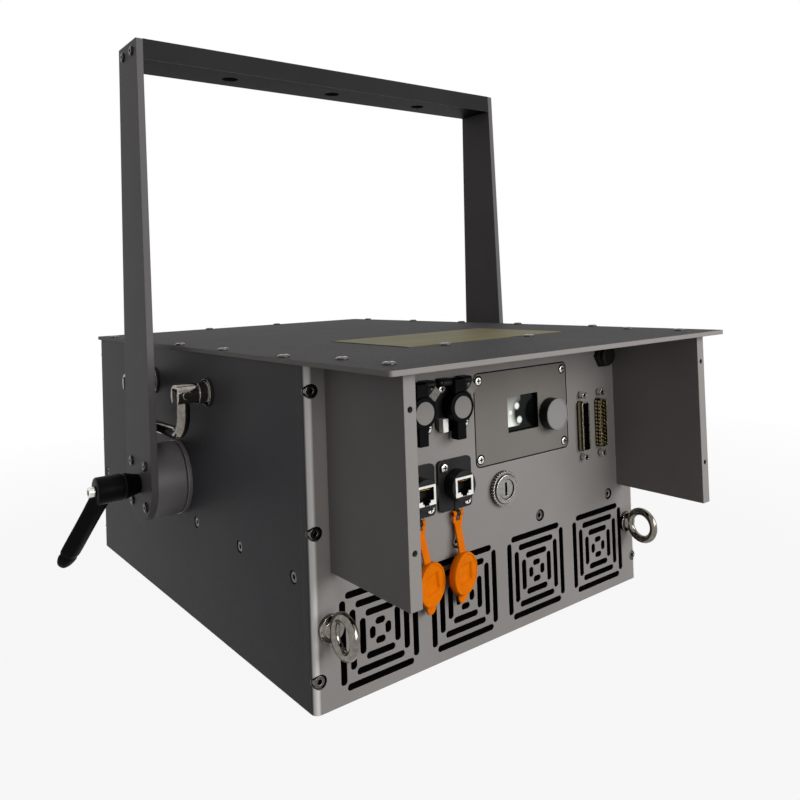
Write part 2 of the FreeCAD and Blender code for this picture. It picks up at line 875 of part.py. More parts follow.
def heatsink():
    """A finned block under the bench, with two rails that carry the bottom plate."""
    half = heatsink_half
    shape = block(-half, half, heatsink_front, heatsink_rear, bench_bottom - heatsink_base, bench_bottom)
    pieces = [block(s * rail_centre - rail_thickness / 2, s * rail_centre + rail_thickness / 2,
                    heatsink_front,
                    heatsink_rear, bottom_thickness, bench_bottom) for s in (-1, 1)]
    step = 2 * rail_centre / (fin_count + 1)
    for index in range(fin_count):
        x = -rail_centre + step * (index + 1)
        pieces.append(block(x - fin_thickness / 2, x + fin_thickness / 2, heatsink_front, heatsink_rear,
                            bottom_thickness + heatsink_floor_gap, bench_bottom))
    shape = fuse(shape, *pieces)
    bite = panel_screw_length - bottom_thickness + overrun
    return shape.cut([rod(x, y, bottom_thickness - overrun, Z_AXIS, panel_screw_radius + fit, bite + overrun)
                      for x, y in bottom_screw_places])


def fan_frame(x):
    """A square fan frame against the rear plate, with a bearing tube on four struts."""
    z = grille_level
    half = fan_size / 2
    frame = rounded_block(x - half, x + half, fan_front, inner_rear, z - half, z + half, Y_AXIS,
                          fan_corner_radius)
    frame = frame.cut(rod(x, fan_front - overrun, z, Y_AXIS, fan_duct_radius, fan_depth + overrun * 2))
    strut_y = inner_rear - fan_strut_thickness
    pieces = [rod(x, strut_y, z, Y_AXIS, fan_hub_radius, fan_strut_thickness),
              rod(x, strut_y - fan_bearing_length, z, Y_AXIS, fan_bearing_radius, fan_bearing_length)]
    strut_end = (fan_duct_radius + half) / 2
    for angle in fan_strut_angles:
        strut = block(0, strut_end, strut_y, inner_rear, -fan_strut_width / 2, fan_strut_width / 2)
        pieces.append(moved(turned(strut, ORIGIN, Y_AXIS, angle), x, 0, z))
    frame = fuse(frame, *pieces)
    holes = [rod(px, fan_front - overrun, pz, Y_AXIS, fan_screw_radius + fit, fan_depth + overrun * 2)
             for px, pz in fan_screw_places if abs(px - x) < half]
    holes.append(rod(x, fan_front, z, Y_AXIS, fan_shaft_radius + running_fit,
                     fan_depth - fan_strut_thickness))
    return frame.cut(holes)


def fan_rotor(x):
    """A bladed cup on a shaft that runs in the bearing tube."""
    z = grille_level
    start = fan_front + fan_end_gap
    end = inner_rear - fan_strut_thickness - fan_hub_gap
    length = end - start
    cup = rod(x, start, z, Y_AXIS, fan_hub_radius, length)
    cup = cup.cut(rod(x, start + fan_hub_wall, z, Y_AXIS, fan_hub_radius - fan_hub_wall, length))
    shaft = rod(x, start, z, Y_AXIS, fan_shaft_radius, length - fan_hub_gap)
    tip = fan_duct_radius - fan_tip_gap
    sweep = rod(x, start, z, Y_AXIS, tip,
                length).cut(rod(x, start, z, Y_AXIS, fan_hub_radius - fan_hub_wall / 2, length))
    middle = (start + end) / 2
    blade = block(0, fan_duct_radius, -fan_blade_chord / 2, fan_blade_chord / 2,
                  -fan_blade_thickness / 2, fan_blade_thickness / 2)
    blade = turned(blade, ORIGIN, X_AXIS, fan_blade_angle)
    blades = []
    for index in range(fan_blade_count):
        spun = turned(blade, ORIGIN, Y_AXIS, 360 / fan_blade_count * index)
        blades.append(moved(spun, x, middle, z).common(sweep))
    return fuse(cup, shaft, *blades)


def window_glass():
    w, h = window_width / 2 + window_lip, window_height / 2 + window_lip
    return block(-w, w, front_y, front_y + glass_thickness, window_level - h, window_level + h)


def window_frame():
    """The bezel that holds the glass in its rebate."""
    w, h = frame_half_width, frame_half_height
    frame = rounded_block(-w, w, front_y - frame_thickness, front_y, window_level - h, window_level + h,
                          Y_AXIS, frame_radius)
    w, h = window_width / 2, window_height / 2
    tools = [block(-w, w, front_y - frame_thickness - overrun, front_y + overrun, window_level - h,
                   window_level + h)]
    tools += bores(frame_screw_places, fitting_screw_radius + fit, front_y - frame_thickness - overrun,
                   frame_thickness + overrun * 2, Y_AXIS)
    return frame.cut(tools)


def laser_module(x):
    """A sealed laser block with a screwed lid and a beam nose that points to the front."""
    half = laser_width / 2
    lid_z = bench_top + laser_height - laser_lid_thickness
    shape = rounded_block(x - half, x + half, laser_front, laser_front + laser_length, bench_top, lid_z,
                          Z_AXIS, laser_lid_thickness)
    inset = laser_lid_thickness
    lid = block(x - half + inset, x + half - inset, laser_front + inset, laser_front + laser_length - inset,
                lid_z, lid_z + laser_lid_thickness)
    nose = rod(x, laser_front - laser_nose_length, beam_level, Y_AXIS, laser_nose_radius, laser_nose_length)
    shape = fuse(shape, lid, nose)
    return shape.cut(rod(x, laser_front - laser_nose_length - overrun, beam_level, Y_AXIS,
                         laser_nose_radius / 2, laser_nose_length))


def mirror_plate(x):
    """A slanted mirror that turns the beam of one laser across the bench."""
    half = mirror_width / 2
    plate = block(-half, half, 0, mirror_thickness, beam_level - mirror_height / 2,
                  beam_level + mirror_height / 2)
    return moved(turned(plate, ORIGIN, Z_AXIS, mirror_angle), x, galvo_y, 0)


def mirror_mount(x):
    """An upright with a foot, behind its mirror."""
    half = mount_width / 2
    back = mirror_thickness + mount_depth
    upright = block(-half, half, mirror_thickness, back, bench_top, beam_level + mirror_height / 2)
    foot = block(-half, half, mirror_thickness, back + mount_foot, bench_top, bench_top + mount_foot)
    hole = rod(0, mirror_thickness - overrun, beam_level, Y_AXIS, laser_nose_radius / 2,
               mount_depth + overrun * 2)
    mount = fuse(upright, foot).cut(hole)
    return moved(turned(mount, ORIGIN, Z_AXIS, mirror_angle), x, galvo_y, 0)


def galvo_block():
    """A split block that clamps one motor along Y and one above it along X."""
    low = block(-galvo_side, galvo_side, galvo_y + galvo_start, galvo_y + galvo_start + galvo_clamp_length,
                bench_top, beam_level + galvo_side)
    high = block(-galvo_start - galvo_clamp_length, -galvo_start, galvo_y - galvo_side, galvo_y + galvo_side,
                 bench_top, galvo_top + galvo_side)
    length = galvo_motor_length + overrun * 2
    radius = galvo_motor_radius + fit
    return fuse(low, high).cut([rod(0, galvo_y + galvo_start - overrun, beam_level, Y_AXIS, radius, length),
                                rod(-galvo_start + overrun, galvo_y, galvo_top, -X_AXIS, radius, length)])


def galvo_motor():
    """A motor can on the Z axis, with a collar and a bore for the mirror's shaft."""
    can = Part.makeCylinder(galvo_motor_radius, galvo_motor_length, V(0, 0, galvo_start))
    collar = Part.makeCylinder(galvo_collar_radius, galvo_collar_length, V(0, 0, galvo_mirror_gap))
    bore = Part.makeCylinder(galvo_shaft_radius + running_fit, galvo_shaft_bite + overrun,
                             V(0, 0, galvo_mirror_gap))
    return fuse(can, collar).cut(bore)


def galvo_mirror():
    """A mirror on its shaft along the Z axis, with the mirror's face along X at zero."""
    half = galvo_mirror_length / 2
    wide = galvo_mirror_width / 2
    plate = block(-wide, wide, -galvo_mirror_thickness, 0, -half, half)
    shaft = Part.makeCylinder(galvo_shaft_radius, galvo_mirror_gap + galvo_shaft_bite - half,
                              V(0, -galvo_shaft_radius, half - galvo_mirror_thickness))
    holder = Part.makeCylinder(galvo_shaft_radius + galvo_mirror_thickness, galvo_mirror_thickness * 2,
                               V(0, -galvo_shaft_radius, half - galvo_mirror_thickness))
    return moved(fuse(plate, holder, shaft), 0, galvo_shaft_radius, 0)


def scan_mirror(angle, outward, level):
    """A galvo mirror turned on its shaft to face the beam, then set along its motor."""
    spun = turned(galvo_mirror(), ORIGIN, Z_AXIS, angle)
    return placed(spun, 0, galvo_y, level, outward)


def power_supply():
    """An enclosed supply with a terminal strip at its front end."""
    x0 = -inner_half + supply_side_gap
    y1 = inner_rear - supply_rear_gap
    y0 = y1 - supply_length
    body = block(x0, x0 + supply_width, y0, y1, bench_top, bench_top + supply_height)
    strip = block(x0 + supply_side_gap, x0 + supply_width - supply_side_gap, y0 - terminal_length, y0,
                  bench_top, bench_top + terminal_height)
    return fuse(body, strip)


def circuit_board(x0, y0, width, length):
    """A board with its parts, and the four spacers that it stands on."""
    z = bench_top + spacer_height
    board = block(x0, x0 + width, y0, y0 + length, z, z + board_thickness)
    top = z + board_thickness
    chips = [block(x0 + a * width, x0 + b * width, y0 + c * length, y0 + d * length, top, top + height)
             for shares, height in ((chip_shares, chip_height), (block_shares, block_height))
             for a, b, c, d in shares]
    spacers = [rod(x0 + (spacer_inset if a == 0 else width - spacer_inset),
                   y0 + (spacer_inset if b == 0 else length - spacer_inset), bench_top, Z_AXIS,
                   spacer_radius, spacer_height) for a in (0, 1) for b in (0, 1)]
    return [fuse(board, *chips)] + spacers


def flange(x, z, radius):
    """The square flange of a round fitting, with its corner radius, and the body behind it."""
    w, h = flange_width / 2, flange_height / 2
    plate = rounded_block(x - w, x + w, rear_y, rear_y + flange_thickness, z - h, z + h, Y_AXIS, radius)
    body = rod(x, rear_y - fitting_body_length, z, Y_AXIS, fitting_body_radius, fitting_body_length)
    holes = bores(flange_screws([(x, z)]), fitting_screw_radius + fit, rear_y - overrun,
                  flange_thickness + overrun * 2, Y_AXIS)
    return fuse(plate, body).cut(holes)


def power_key(x, z):
    """The pale latch key that stands on the flange, below the lid and beside it."""
    x0, y0, z1 = x + power_key_side, rear_y + flange_thickness, z - power_key_drop
    return block(x0, x0 + power_key_width, y0, y0 + power_key_reach, z1 - power_key_height, z1)


def power_connector(x, z):
    """A round inlet with two hinge ears above it for the lid."""
    barrel = rod(x, rear_y, z, Y_AXIS, power_barrel_radius, power_barrel_length)
    pin_y, pin_z = rear_y + lid_pin_out, z + lid_pin_rise
    ears = []
    inner = lid_knuckle_width / 2 + hinge_side_gap
    for side in (-1, 1):
        x0, x1 = sorted((x + side * inner, x + side * (inner + hinge_ear_width)))
        ears.append(block(x0, x1, rear_y, pin_y, pin_z - lid_knuckle_radius, pin_z + lid_knuckle_radius))
        ears.append(rod(x0, pin_y, pin_z, X_AXIS, lid_knuckle_radius, x1 - x0))
    shape = fuse(flange(x, z, power_corner_radius), barrel, *ears)
    depth = power_barrel_length + flange_thickness
    tools = [rod(x, rear_y + power_barrel_length + overrun, z, -Y_AXIS, power_bore_radius, depth + overrun),
             rod(x - flange_width, pin_y, pin_z, X_AXIS, lid_pin_radius, flange_width * 2)]
    tools += bores(flange_screws([(x, z)]), fitting_screw_head_radius + fit, rear_y + flange_thickness,
                   lid_pin_out + lid_knuckle_radius, Y_AXIS)
    return shape.cut(tools)


def power_insert(x, z):
    """The pale contact carrier inside a power connector, and the key on its flange."""
    core = rod(x, rear_y - flange_thickness, z, Y_AXIS, power_insert_radius, power_barrel_length)
    return [core, power_key(x, z)]


def lid(x, z):
    """A spring lid: round cover with a raised disc, a finger tab below and a knuckle above."""
    y0 = rear_y + power_barrel_length + lid_gap
    y1 = y0 + lid_thickness
    cover = rod(x, y0, z, Y_AXIS, lid_radius, lid_thickness)
    cover = cover.makeFillet(lid_round, circle_edges(cover, lid_radius,
                                                     lambda centre: centre.y > y0 + lid_gap))
    pin_y, pin_z = rear_y + lid_pin_out, z + lid_pin_rise
    half = lid_knuckle_width / 2
    knuckle = rod(x - half, pin_y, pin_z, X_AXIS, lid_knuckle_radius, lid_knuckle_width)
    neck = block(x - half, x + half, y0, y1 - lid_round, z + lid_radius / 2, pin_z + lid_knuckle_radius / 2)
    half = lid_tab_width / 2
    tab = block(x - half, x + half, y0, y1 - lid_round, z - lid_tab_reach, z - lid_radius / 2)
    disc = rod(x, y1, z, Y_AXIS, lid_disc_radius, lid_disc_height)
    shape = fuse(cover, knuckle, neck, tab, disc)
    return shape.cut(rod(x - flange_width, pin_y, pin_z, X_AXIS, lid_pin_radius + running_fit,
                         flange_width * 2))


def lid_pin(x, z):
    half = lid_knuckle_width / 2 + hinge_side_gap + hinge_ear_width
    return rod(x - half, rear_y + lid_pin_out, z + lid_pin_rise, X_AXIS, lid_pin_radius, 2 * half)


def tether_eye(z):
    """The height of the pin that the cap's tether hangs from."""
    return z - flange_height / 2 - tether_eye_drop


def data_socket(x, z):
    """A round network socket with a lug below its flange for the cap's tether."""
    barrel = rod(x, rear_y, z, Y_AXIS, data_barrel_radius, data_barrel_length)
    top = rear_y + data_barrel_length / 2
    barrel = barrel.makeFillet(data_barrel_round,
                               circle_edges(barrel, data_barrel_radius, lambda c: c.y > top))
    ear = block(x - data_barrel_radius - lug_width / 2, x, rear_y, rear_y + data_barrel_length - lug_width,
                z - lug_height / 2, z + lug_height / 2)
    eye_y, eye_z = rear_y + tether_eye_out, tether_eye(z)
    half = tether_lug_width / 2
    lug = block(x - half, x + half, rear_y, eye_y, eye_z - tether_pin_radius, z - data_barrel_radius / 2)
    pin = rod(x - tether_fork_width / 2, eye_y, eye_z, X_AXIS, tether_pin_radius, tether_fork_width)
    nose = rod(x - half, eye_y, eye_z, X_AXIS, tether_eye_radius, tether_lug_width)
    shape = fuse(flange(x, z, flange_radius), barrel, ear, lug, nose, pin)
    w, h = jack_width / 2 + fit, jack_height / 2 + fit
    end = rear_y + data_barrel_length
    return shape.cut(block(x - w, x + w, end - jack_depth, end + overrun, z - h, z + h))


def network_jack(x, z):
    """The pale jack in a data socket, with the stepped opening for a plug and its latch."""
    end = rear_y + data_barrel_length
    w, h = jack_width / 2, jack_height / 2
    jack = block(x - w, x + w, end - jack_depth, end, z - h, z + h)
    top = z + h - (jack_width - jack_hole_width) / 2
    tools = []
    low = top
    for width, height in ((jack_hole_width, jack_hole_height), (jack_notch_width, jack_notch_height),
                          (jack_step_width, jack_step_height)):
        tools.append(block(x - width / 2, x + width / 2, end - jack_hole_depth, end + overrun, low - height,
                           low + fit))
        low -= height
    return jack.cut(tools)


def cap(x, z, lean):
    """A rubber cap that hangs by a flat tether from the eye below its socket, a little turned."""
    eye_y, eye_z = rear_y + tether_eye_out, tether_eye(z)
    centre = V(x, rear_y + cap_back + cap_thickness / 2, z - cap_drop)
    y0 = rear_y + cap_back
    y1 = y0 + cap_thickness
    disc = rod(x, y0, centre.z, Y_AXIS, cap_radius, cap_thickness)
    face = rod(x, y1 - cap_rim_depth, centre.z, Y_AXIS, cap_radius - cap_rim_width, cap_thickness)
    half = cap_tab_width / 2
    low = centre.z - cap_tab_reach + half
    tab = block(x - half, x + half, y0, y0 + cap_thickness / 2, low, centre.z)
    tip = rod(x, y0, low, Y_AXIS, half, cap_thickness / 2)
    plug = turned(fuse(disc.cut(face), tab, tip), centre, Z_AXIS, cap_turn_angle)
    t = tether_thickness / 2
    high, low = eye_z - tether_eye_radius * 2, centre.z + cap_radius / 2
    half = tether_width / 2
    side = [V(x - half, eye_y - t, high), V(x - half, eye_y + t, high), V(x - half, centre.y + t, low),
            V(x - half, centre.y - t, low)]
    strap = Part.Face(Part.makePolygon(side + side[:1])).extrude(V(tether_width, 0, 0))
    hanging = turned(fuse(plug, strap), V(x, eye_y, eye_z), Y_AXIS, lean)
    slit = tether_lug_width / 2 + tether_side_gap
    prongs = []
    for s in (-1, 1):
        x0, x1 = sorted((x + s * slit, x + s * tether_fork_width / 2))
        prongs.append(rod(x0, eye_y, eye_z, X_AXIS, tether_eye_radius, x1 - x0))
        prongs.append(block(x0, x1, eye_y - t, eye_y + t, eye_z - tether_eye_radius * 3, eye_z))
    wide = tether_fork_width / 2
    low = eye_z - tether_eye_radius * tether_taper_share
    front = [V(x - wide, eye_y - t, high), V(x + wide, eye_y - t, high), V(x + half, eye_y - t, low),
             V(x - half, eye_y - t, low)]
    fork = Part.Face(Part.makePolygon(front + front[:1])).extrude(V(0, tether_thickness, 0))
    shape = fuse(hanging, fork, *prongs)
    return shape.cut(rod(x - flange_width, eye_y, eye_z, X_AXIS, tether_pin_radius + running_fit,
                         flange_width * 2))


def port_outline(height, width, inset):
    """The D outline of a port's shell, upright: one long side is shorter than the other."""
    h, w = height / 2 - inset, width / 2 - inset
    points = [V(-w, 0, -h + port_shell_slant), V(w, 0, -h), V(w, 0, h), V(-w, 0, h - port_shell_slant)]
    return Part.Face(Part.makePolygon(points + points[:1]))


def port_shell(inset, depth):
    shape = port_outline(port_shell_height, port_shell_width, inset).extrude(V(0, depth, 0))
    return shape.makeFillet(port_shell_radius - inset, edges_along(shape, Y_AXIS, lambda middle: True))


def port_pins(x, z, radius, start, length):
    """The two rows of contacts of a port."""
    pins = []
    for row, count in ((1, port_pin_count), (-1, port_pin_count - 1)):
        for index in range(count):
            dz = (index - (count - 1) / 2) * port_pin_pitch
            pins.append(rod(x + row * port_pin_row / 2, start, z + dz, Y_AXIS, radius, length))
    return pins


def data_port(x, z, male):
    """A multi-pin port set in from inside: a flange behind the web, a body and a D shell through it."""
    seat = rear_y - port_web
    back = seat - port_flange_thickness
    reach = port_web + port_shell_reach
    w, h = port_flange_width / 2, port_flange_height / 2
    plate = rounded_block(x - w, x + w, back, seat, z - h, z + h, Y_AXIS, port_corner_radius)
    w, h = port_body_width / 2, port_body_height / 2
    body = block(x - w, x + w, back - port_body_length, back, z - h, z + h)
    shape = fuse(plate, body, moved(port_shell(0, reach), x, seat, z))
    holes = [rod(x, back - overrun, z + s * jack_screw_spacing / 2, Y_AXIS, fitting_screw_radius + fit,
                 port_flange_thickness + overrun * 2) for s in (-1, 1)]
    end = rear_y + port_shell_reach
    if male:
        cavity = moved(port_shell(port_shell_wall, reach), x, seat, z)
        pins = port_pins(x, z, port_pin_radius, back, seat - back + port_web + port_pin_length)
        return shape.cut([cavity] + holes).fuse(pins).removeSplitter()
    return shape.cut(holes + port_pins(x, z, port_pin_radius, end - port_pin_length,
                                       port_pin_length + overrun))


def jack_screw():
    """A six-sided standoff on the Z axis with a tapped hole, and its thread below."""
    post = hexagon(jack_screw_width, jack_screw_length)
    thread = Part.makeCylinder(fitting_screw_radius, fitting_screw_length, V(0, 0, -fitting_screw_length))
    hole = Part.makeCylinder(fitting_screw_radius, jack_screw_length, V(0, 0, jack_screw_length / 2))
    return fuse(post, thread).cut(hole)


control_face = rear_y - control_thickness


def control_plate():
    """The plate let into the rear plate, with the display window and the encoder's hole."""
    w, h = control_width / 2, control_height / 2
    plate = rounded_block(control_column - w, control_column + w, control_face, rear_y,
                          control_level - h, control_level + h, Y_AXIS, control_radius)
    w, h = display_width / 2, display_height / 2
    start = control_face - overrun
    through = control_thickness + overrun * 2
    tools = [rounded_block(control_column - w, control_column + w, start, start + through,
                           control_level - h, control_level + h, Y_AXIS, display_radius)]
    tools += bores(control_screw_places, fitting_screw_radius + fit, start, through, Y_AXIS)
    tools += bores(control_screw_places, control_bore_radius, rear_y - control_bore_depth, through, Y_AXIS)
    tools.append(rod(knob_column, start, knob_level, Y_AXIS, encoder_bush_radius + fit, through))
    return plate.cut(tools)


def display_module():
    """The display's glass against the back of the control plate, and its board."""
    w, h = display_width / 2 + display_glass_border, display_height / 2 + display_glass_border
    x, z = control_column, control_level
    glass = block(x - w, x + w, control_face - display_glass_thickness, control_face, z - h, z + h)
    board_y = control_face - display_glass_thickness
    w, h = display_width / 2 + display_board_border, display_height / 2 + display_board_border
    right = min(w, x - knob_column - encoder_width / 2 - fit)
    board = block(x - right, x + w, board_y - board_thickness, board_y, z - h, z + h)
    return fuse(glass, board)


def d_shaft(radius, start, length):
    """A shaft along Y with one flat."""
    shaft = rod(knob_column, start, knob_level, Y_AXIS, radius, length)
    z = knob_level + encoder_shaft_flat + radius - encoder_shaft_radius
    return shaft.cut(block(knob_column - radius * 2, knob_column + radius * 2, start - overrun,
                           start + length + overrun,
                           z, z + radius * 2))


rotor_y = control_face - encoder_depth + encoder_wall + knob_travel


def encoder_body():
    """The encoder's can behind the control plate, with its threaded bush through the plate."""
    half = encoder_width / 2
    x, z = knob_column, knob_level
    can = block(x - half, x + half, control_face - encoder_depth, control_face, z - half, z + half)
    bush = rod(x, control_face, z, Y_AXIS, encoder_bush_radius, encoder_bush_length)
    cavity = rod(x, control_face - encoder_depth + encoder_wall, z, Y_AXIS,
                 encoder_rotor_radius + turning_gap,
                 encoder_depth - encoder_wall * 2)
    bore = rod(x, control_face - encoder_depth + encoder_wall, z, Y_AXIS, encoder_shaft_radius + running_fit,
               encoder_depth + encoder_bush_length)
    return fuse(can, bush).cut([cavity, bore])


def encoder_rotor():
    """The detent disc that the knob's shaft slides through."""
    disc = rod(knob_column, rotor_y, knob_level, Y_AXIS, encoder_rotor_radius, encoder_rotor_thickness)
    return disc.cut(d_shaft(encoder_shaft_radius + running_fit, rotor_y - overrun,
                            encoder_rotor_thickness + overrun * 2))


knob_seat = rear_y + knob_gap + knob_cavity_depth


def knob():
    """A round knob with a dished face and a hollow for the encoder's bush."""
    x, z = knob_column, knob_level
    y0 = rear_y + knob_gap
    y1 = y0 + knob_height
    shape = rod(x, y0, z, Y_AXIS, knob_radius, knob_height)
    shape = shape.makeFillet(knob_round, circle_edges(shape, knob_radius,
                                                      lambda centre: centre.y > y0 + knob_gap))
    return shape.cut([rod(x, y0 - overrun, z, Y_AXIS, knob_cavity_radius, knob_cavity_depth + overrun),
                      rod(x, y1 - knob_dimple_depth, z, Y_AXIS, knob_radius - knob_rim, knob_height)])


def knob_shaft():
    """The shaft with a flat that carries the knob and slides through the encoder."""
    start = rotor_y + knob_travel / 2
    return d_shaft(encoder_shaft_radius, start, knob_seat - start)


def key_switch_body():
    """The lock's body: knurled ring and bright bezel outside, threaded tube and nut inside."""
    x, z = key_column, key_level
    ring = rod(x, rear_y, z, Y_AXIS, key_ring_radius, key_ring_height)
    grooves = []
    for index in range(key_knurl_count):
        angle = 2 * math.pi / key_knurl_count * index
        grooves.append(rod(x + key_ring_radius * math.cos(angle), rear_y - overrun,
                           z + key_ring_radius * math.sin(angle),
                           Y_AXIS, key_knurl_radius, key_ring_height + overrun * 2))
    bezel = rod(x, rear_y, z, Y_AXIS, key_bezel_radius, key_ring_height + key_bezel_height)
    top = rear_y + key_ring_height
    bezel = bezel.makeFillet(key_bezel_round,
                             circle_edges(bezel, key_bezel_radius, lambda centre: centre.y > top))
    tube = rod(x, rear_y - key_body_length, z, Y_AXIS, key_body_radius, key_body_length)
    nut = rod(x, inner_rear - key_nut_height, z, Y_AXIS, key_nut_radius, key_nut_height)
    shape = fuse(ring.cut(grooves), bezel, tube, nut)
    end = rear_y + key_ring_height + key_bezel_height
    depth = key_barrel_sink + key_barrel_length + fit
    return shape.cut(rod(x, end + overrun, z, -Y_AXIS, key_barrel_radius + running_fit, depth + overrun))


def key_switch_barrel():
    """The turning barrel with its key slot."""
    end = rear_y + key_ring_height + key_bezel_height - key_barrel_sink
    barrel = rod(key_column, end, key_level, -Y_AXIS, key_barrel_radius, key_barrel_length)
    w, h = key_slot_width / 2, key_slot_height / 2
    return barrel.cut(block(key_column - w, key_column + w, end - key_slot_depth, end + overrun,
                            key_level - h, key_level + h))


def vent_plug():
    """A breather plug with six flats, and its nut behind the plate."""
    x, z = vent_column, vent_level
    head = placed(hexagon(vent_hex, vent_hex_height), x, rear_y, z, Y_AXIS)
    dome = rod(x, rear_y, z, Y_AXIS, vent_dome_radius, vent_hex_height + vent_dome_height)
    top = rear_y + vent_hex_height
    dome = dome.makeFillet(vent_dome_round,
                           circle_edges(dome, vent_dome_radius, lambda centre: centre.y > top))
    thread = rod(x, inner_rear - vent_nut_height, z, Y_AXIS, vent_thread_radius,
                 end_thickness + vent_nut_height)
    nut = rod(x, inner_rear - vent_nut_height, z, Y_AXIS, vent_nut_radius, vent_nut_height)
    return fuse(head, dome, thread, nut)


def eye_bolt(x):
    """A lifting eye whose ring stands upright, screwed into the rear plate."""
    thread = rod(x, rear_y - eye_thread_length, eye_level, Y_AXIS, eye_thread_radius, eye_thread_length)
    collar = rod(x, rear_y, eye_level, Y_AXIS, eye_collar_radius, eye_collar_height)
    neck = Part.makeCone(eye_collar_radius, eye_wire_radius, eye_out - eye_ring_radius,
                         V(x, rear_y, eye_level), Y_AXIS)
    ring = Part.makeTorus(eye_ring_radius, eye_wire_radius, V(x, rear_y + eye_out, eye_level), X_AXIS)
    return fuse(thread, collar, neck, ring)


pin_half = math.sqrt(post_head_radius ** 2 - pin_head_radius ** 2)


def handle_post(y):
    """A stainless post on the +X panel with a fork for the bail and its pin."""
    z = handle_level
    flange_disc = rod(half_width, y, z, X_AXIS, post_flange_radius, post_flange_thickness)
    neck = rod(half_width, y, z, X_AXIS, post_neck_radius, post_head_end)
    base = rod(half_width, y, z, X_AXIS, post_head_radius, post_head_start - post_groove_width)
    head = rod(half_width + post_head_start, y, z, X_AXIS, post_head_radius, post_head_end - post_head_start)
    spigot = rod(half_width - post_spigot_length, y, z, X_AXIS, post_spigot_radius, post_spigot_length)
    shape = fuse(flange_disc, neck, base, head, spigot)
    half = bail_radius + post_slot_gap
    x = half_width + pin_out
    fork = block(x - half - bail_slot_reach, half_width + post_head_end + overrun, y - half, y + half,
                 z - post_head_radius - overrun, z + half)
    hole = rod(x, y - post_head_radius - overrun, z, Y_AXIS, pin_radius, 2 * (post_head_radius + overrun))
    seat = rod(x, y + pin_half, z, Y_AXIS, pin_head_radius + fit, post_head_radius)
    return shape.cut([fork, hole, seat])


def handle_pin(y):
    """The hinge pin of one post, with a low head on a flat seat towards the rear."""
    x = half_width + pin_out
    shank = rod(x, y - pin_half, handle_level, Y_AXIS, pin_radius, 2 * pin_half)
    head = rod(x, y + pin_half, handle_level, Y_AXIS, pin_head_radius,
               post_head_radius - pin_half + pin_head_height)
    return fuse(shank, head)


def bail():
    """A round bar bent to a U, with an eye at each end round its pin."""
    x, z = half_width + pin_out, handle_level
    y0, y1 = post_places
    low = z - bail_drop
    bend = bail_bend
    diagonal = bend * (1 - math.sqrt(0.5))
    start = V(x, y0, z)
    first = V(x, y0, low + bend)
    second = V(x, y0 + bend, low)
    third = V(x, y1 - bend, low)
    fourth = V(x, y1, low + bend)
    path = Part.Wire([Part.makeLine(start, first),
                      Part.Arc(first, V(x, y0 + diagonal, low + diagonal), second).toShape(),
                      Part.makeLine(second, third),
                      Part.Arc(third, V(x, y1 - diagonal, low + diagonal), fourth).toShape(),
                      Part.makeLine(fourth, V(x, y1, z))])
    profile = Part.Wire([Part.makeCircle(bail_radius, start, -Z_AXIS)])
    bar = path.makePipeShell([profile], True, False)
    eyes = [Part.makeSphere(bail_eye_radius, V(x, y, z)) for y in post_places]
    holes = [rod(x, y - bail_radius * 2, z, Y_AXIS, pin_radius + running_fit, bail_radius * 4)
             for y in post_places]
    return fuse(bar, *eyes).cut(holes)


corner_places = [(middle_y + s * bar_screw_spacing / 2, yoke_height - bar_thickness / 2) for s in (-1, 1)]
drum_places = [(middle_y + a * drum_screw_spacing / 2, pivot_level + b * drum_screw_spacing / 2)
               for a in (-1, 1) for b in (-1, 1)]


def yoke_arm():
    """The +X arm: a flat bar that tapers upwards from a round end about the pivot."""
    low, high = arm_pivot_width / 2, arm_top_width / 2
    y, z, top = middle_y, pivot_level, yoke_height
    arc = Part.Arc(V(arm_inner, y - low, z), V(arm_inner, y, z - low), V(arm_inner, y + low, z)).toShape()
    corners = [V(arm_inner, y + low, z), V(arm_inner, y + high, top), V(arm_inner, y - high, top),
               V(arm_inner, y - low, z)]
    lines = [Part.makeLine(corners[index], corners[index + 1]) for index in range(3)]
    arm = Part.Face(Part.Wire([arc] + lines)).extrude(V(arm_thickness, 0, 0))
    tops = edges_along(arm, X_AXIS, lambda middle: middle.z > top - overrun)
    arm = arm.makeFillet(arm_edge_round, tops)
    start = arm_inner - overrun
    through = arm_thickness + overrun * 2
    tools = [rod(start, py, pz, X_AXIS, roof_screw_radius + fit, through) for py,
             pz in corner_places + drum_places]
    tools.append(rod(start, y, z, X_AXIS, stud_radius + turning_gap, through))
    return arm.cut(tools)


def top_bar():
    """The cross bar of the yoke, with three holes for clamps."""
    half = arm_top_width / 2
    bar = block(-arm_inner, arm_inner, middle_y - half, middle_y + half, yoke_height - bar_thickness,
                yoke_height)
    tools = [rod(bar_hole_spacing * index, middle_y, yoke_height - bar_thickness - overrun, Z_AXIS,
                 bar_hole_radius,
                 bar_thickness + overrun * 2) for index in (-1, 0, 1)]
    bite = yoke_screw_length - arm_thickness + overrun
    for side, axis in stud_places:
        for y, z in corner_places:
            tools.append(rod(side * (arm_inner + overrun), y, z, -axis, roof_screw_radius + fit,
                             bite + overrun))
    return bar.cut(tools)


def pivot_drum():
    """The +X drum, screwed to the arm, that turns on the stud."""
    x0 = half_width + stud_flange_thickness + friction_gap
    drum = rod(x0, middle_y, pivot_level, X_AXIS, drum_radius, arm_inner - x0)
    drum = drum.makeFillet(drum_round, circle_edges(drum, drum_radius,
                                                    lambda centre: centre.x < arm_inner - overrun))
    bite = yoke_screw_length - arm_thickness + overrun
    tools = [rod(arm_inner + overrun, y, z, -X_AXIS, roof_screw_radius + fit, bite + overrun) for y,
             z in drum_places]
    tools.append(rod(x0 - overrun, middle_y, pivot_level, X_AXIS, stud_radius + running_fit,
                     arm_inner - x0 + overrun * 2))
    return drum.cut(tools)


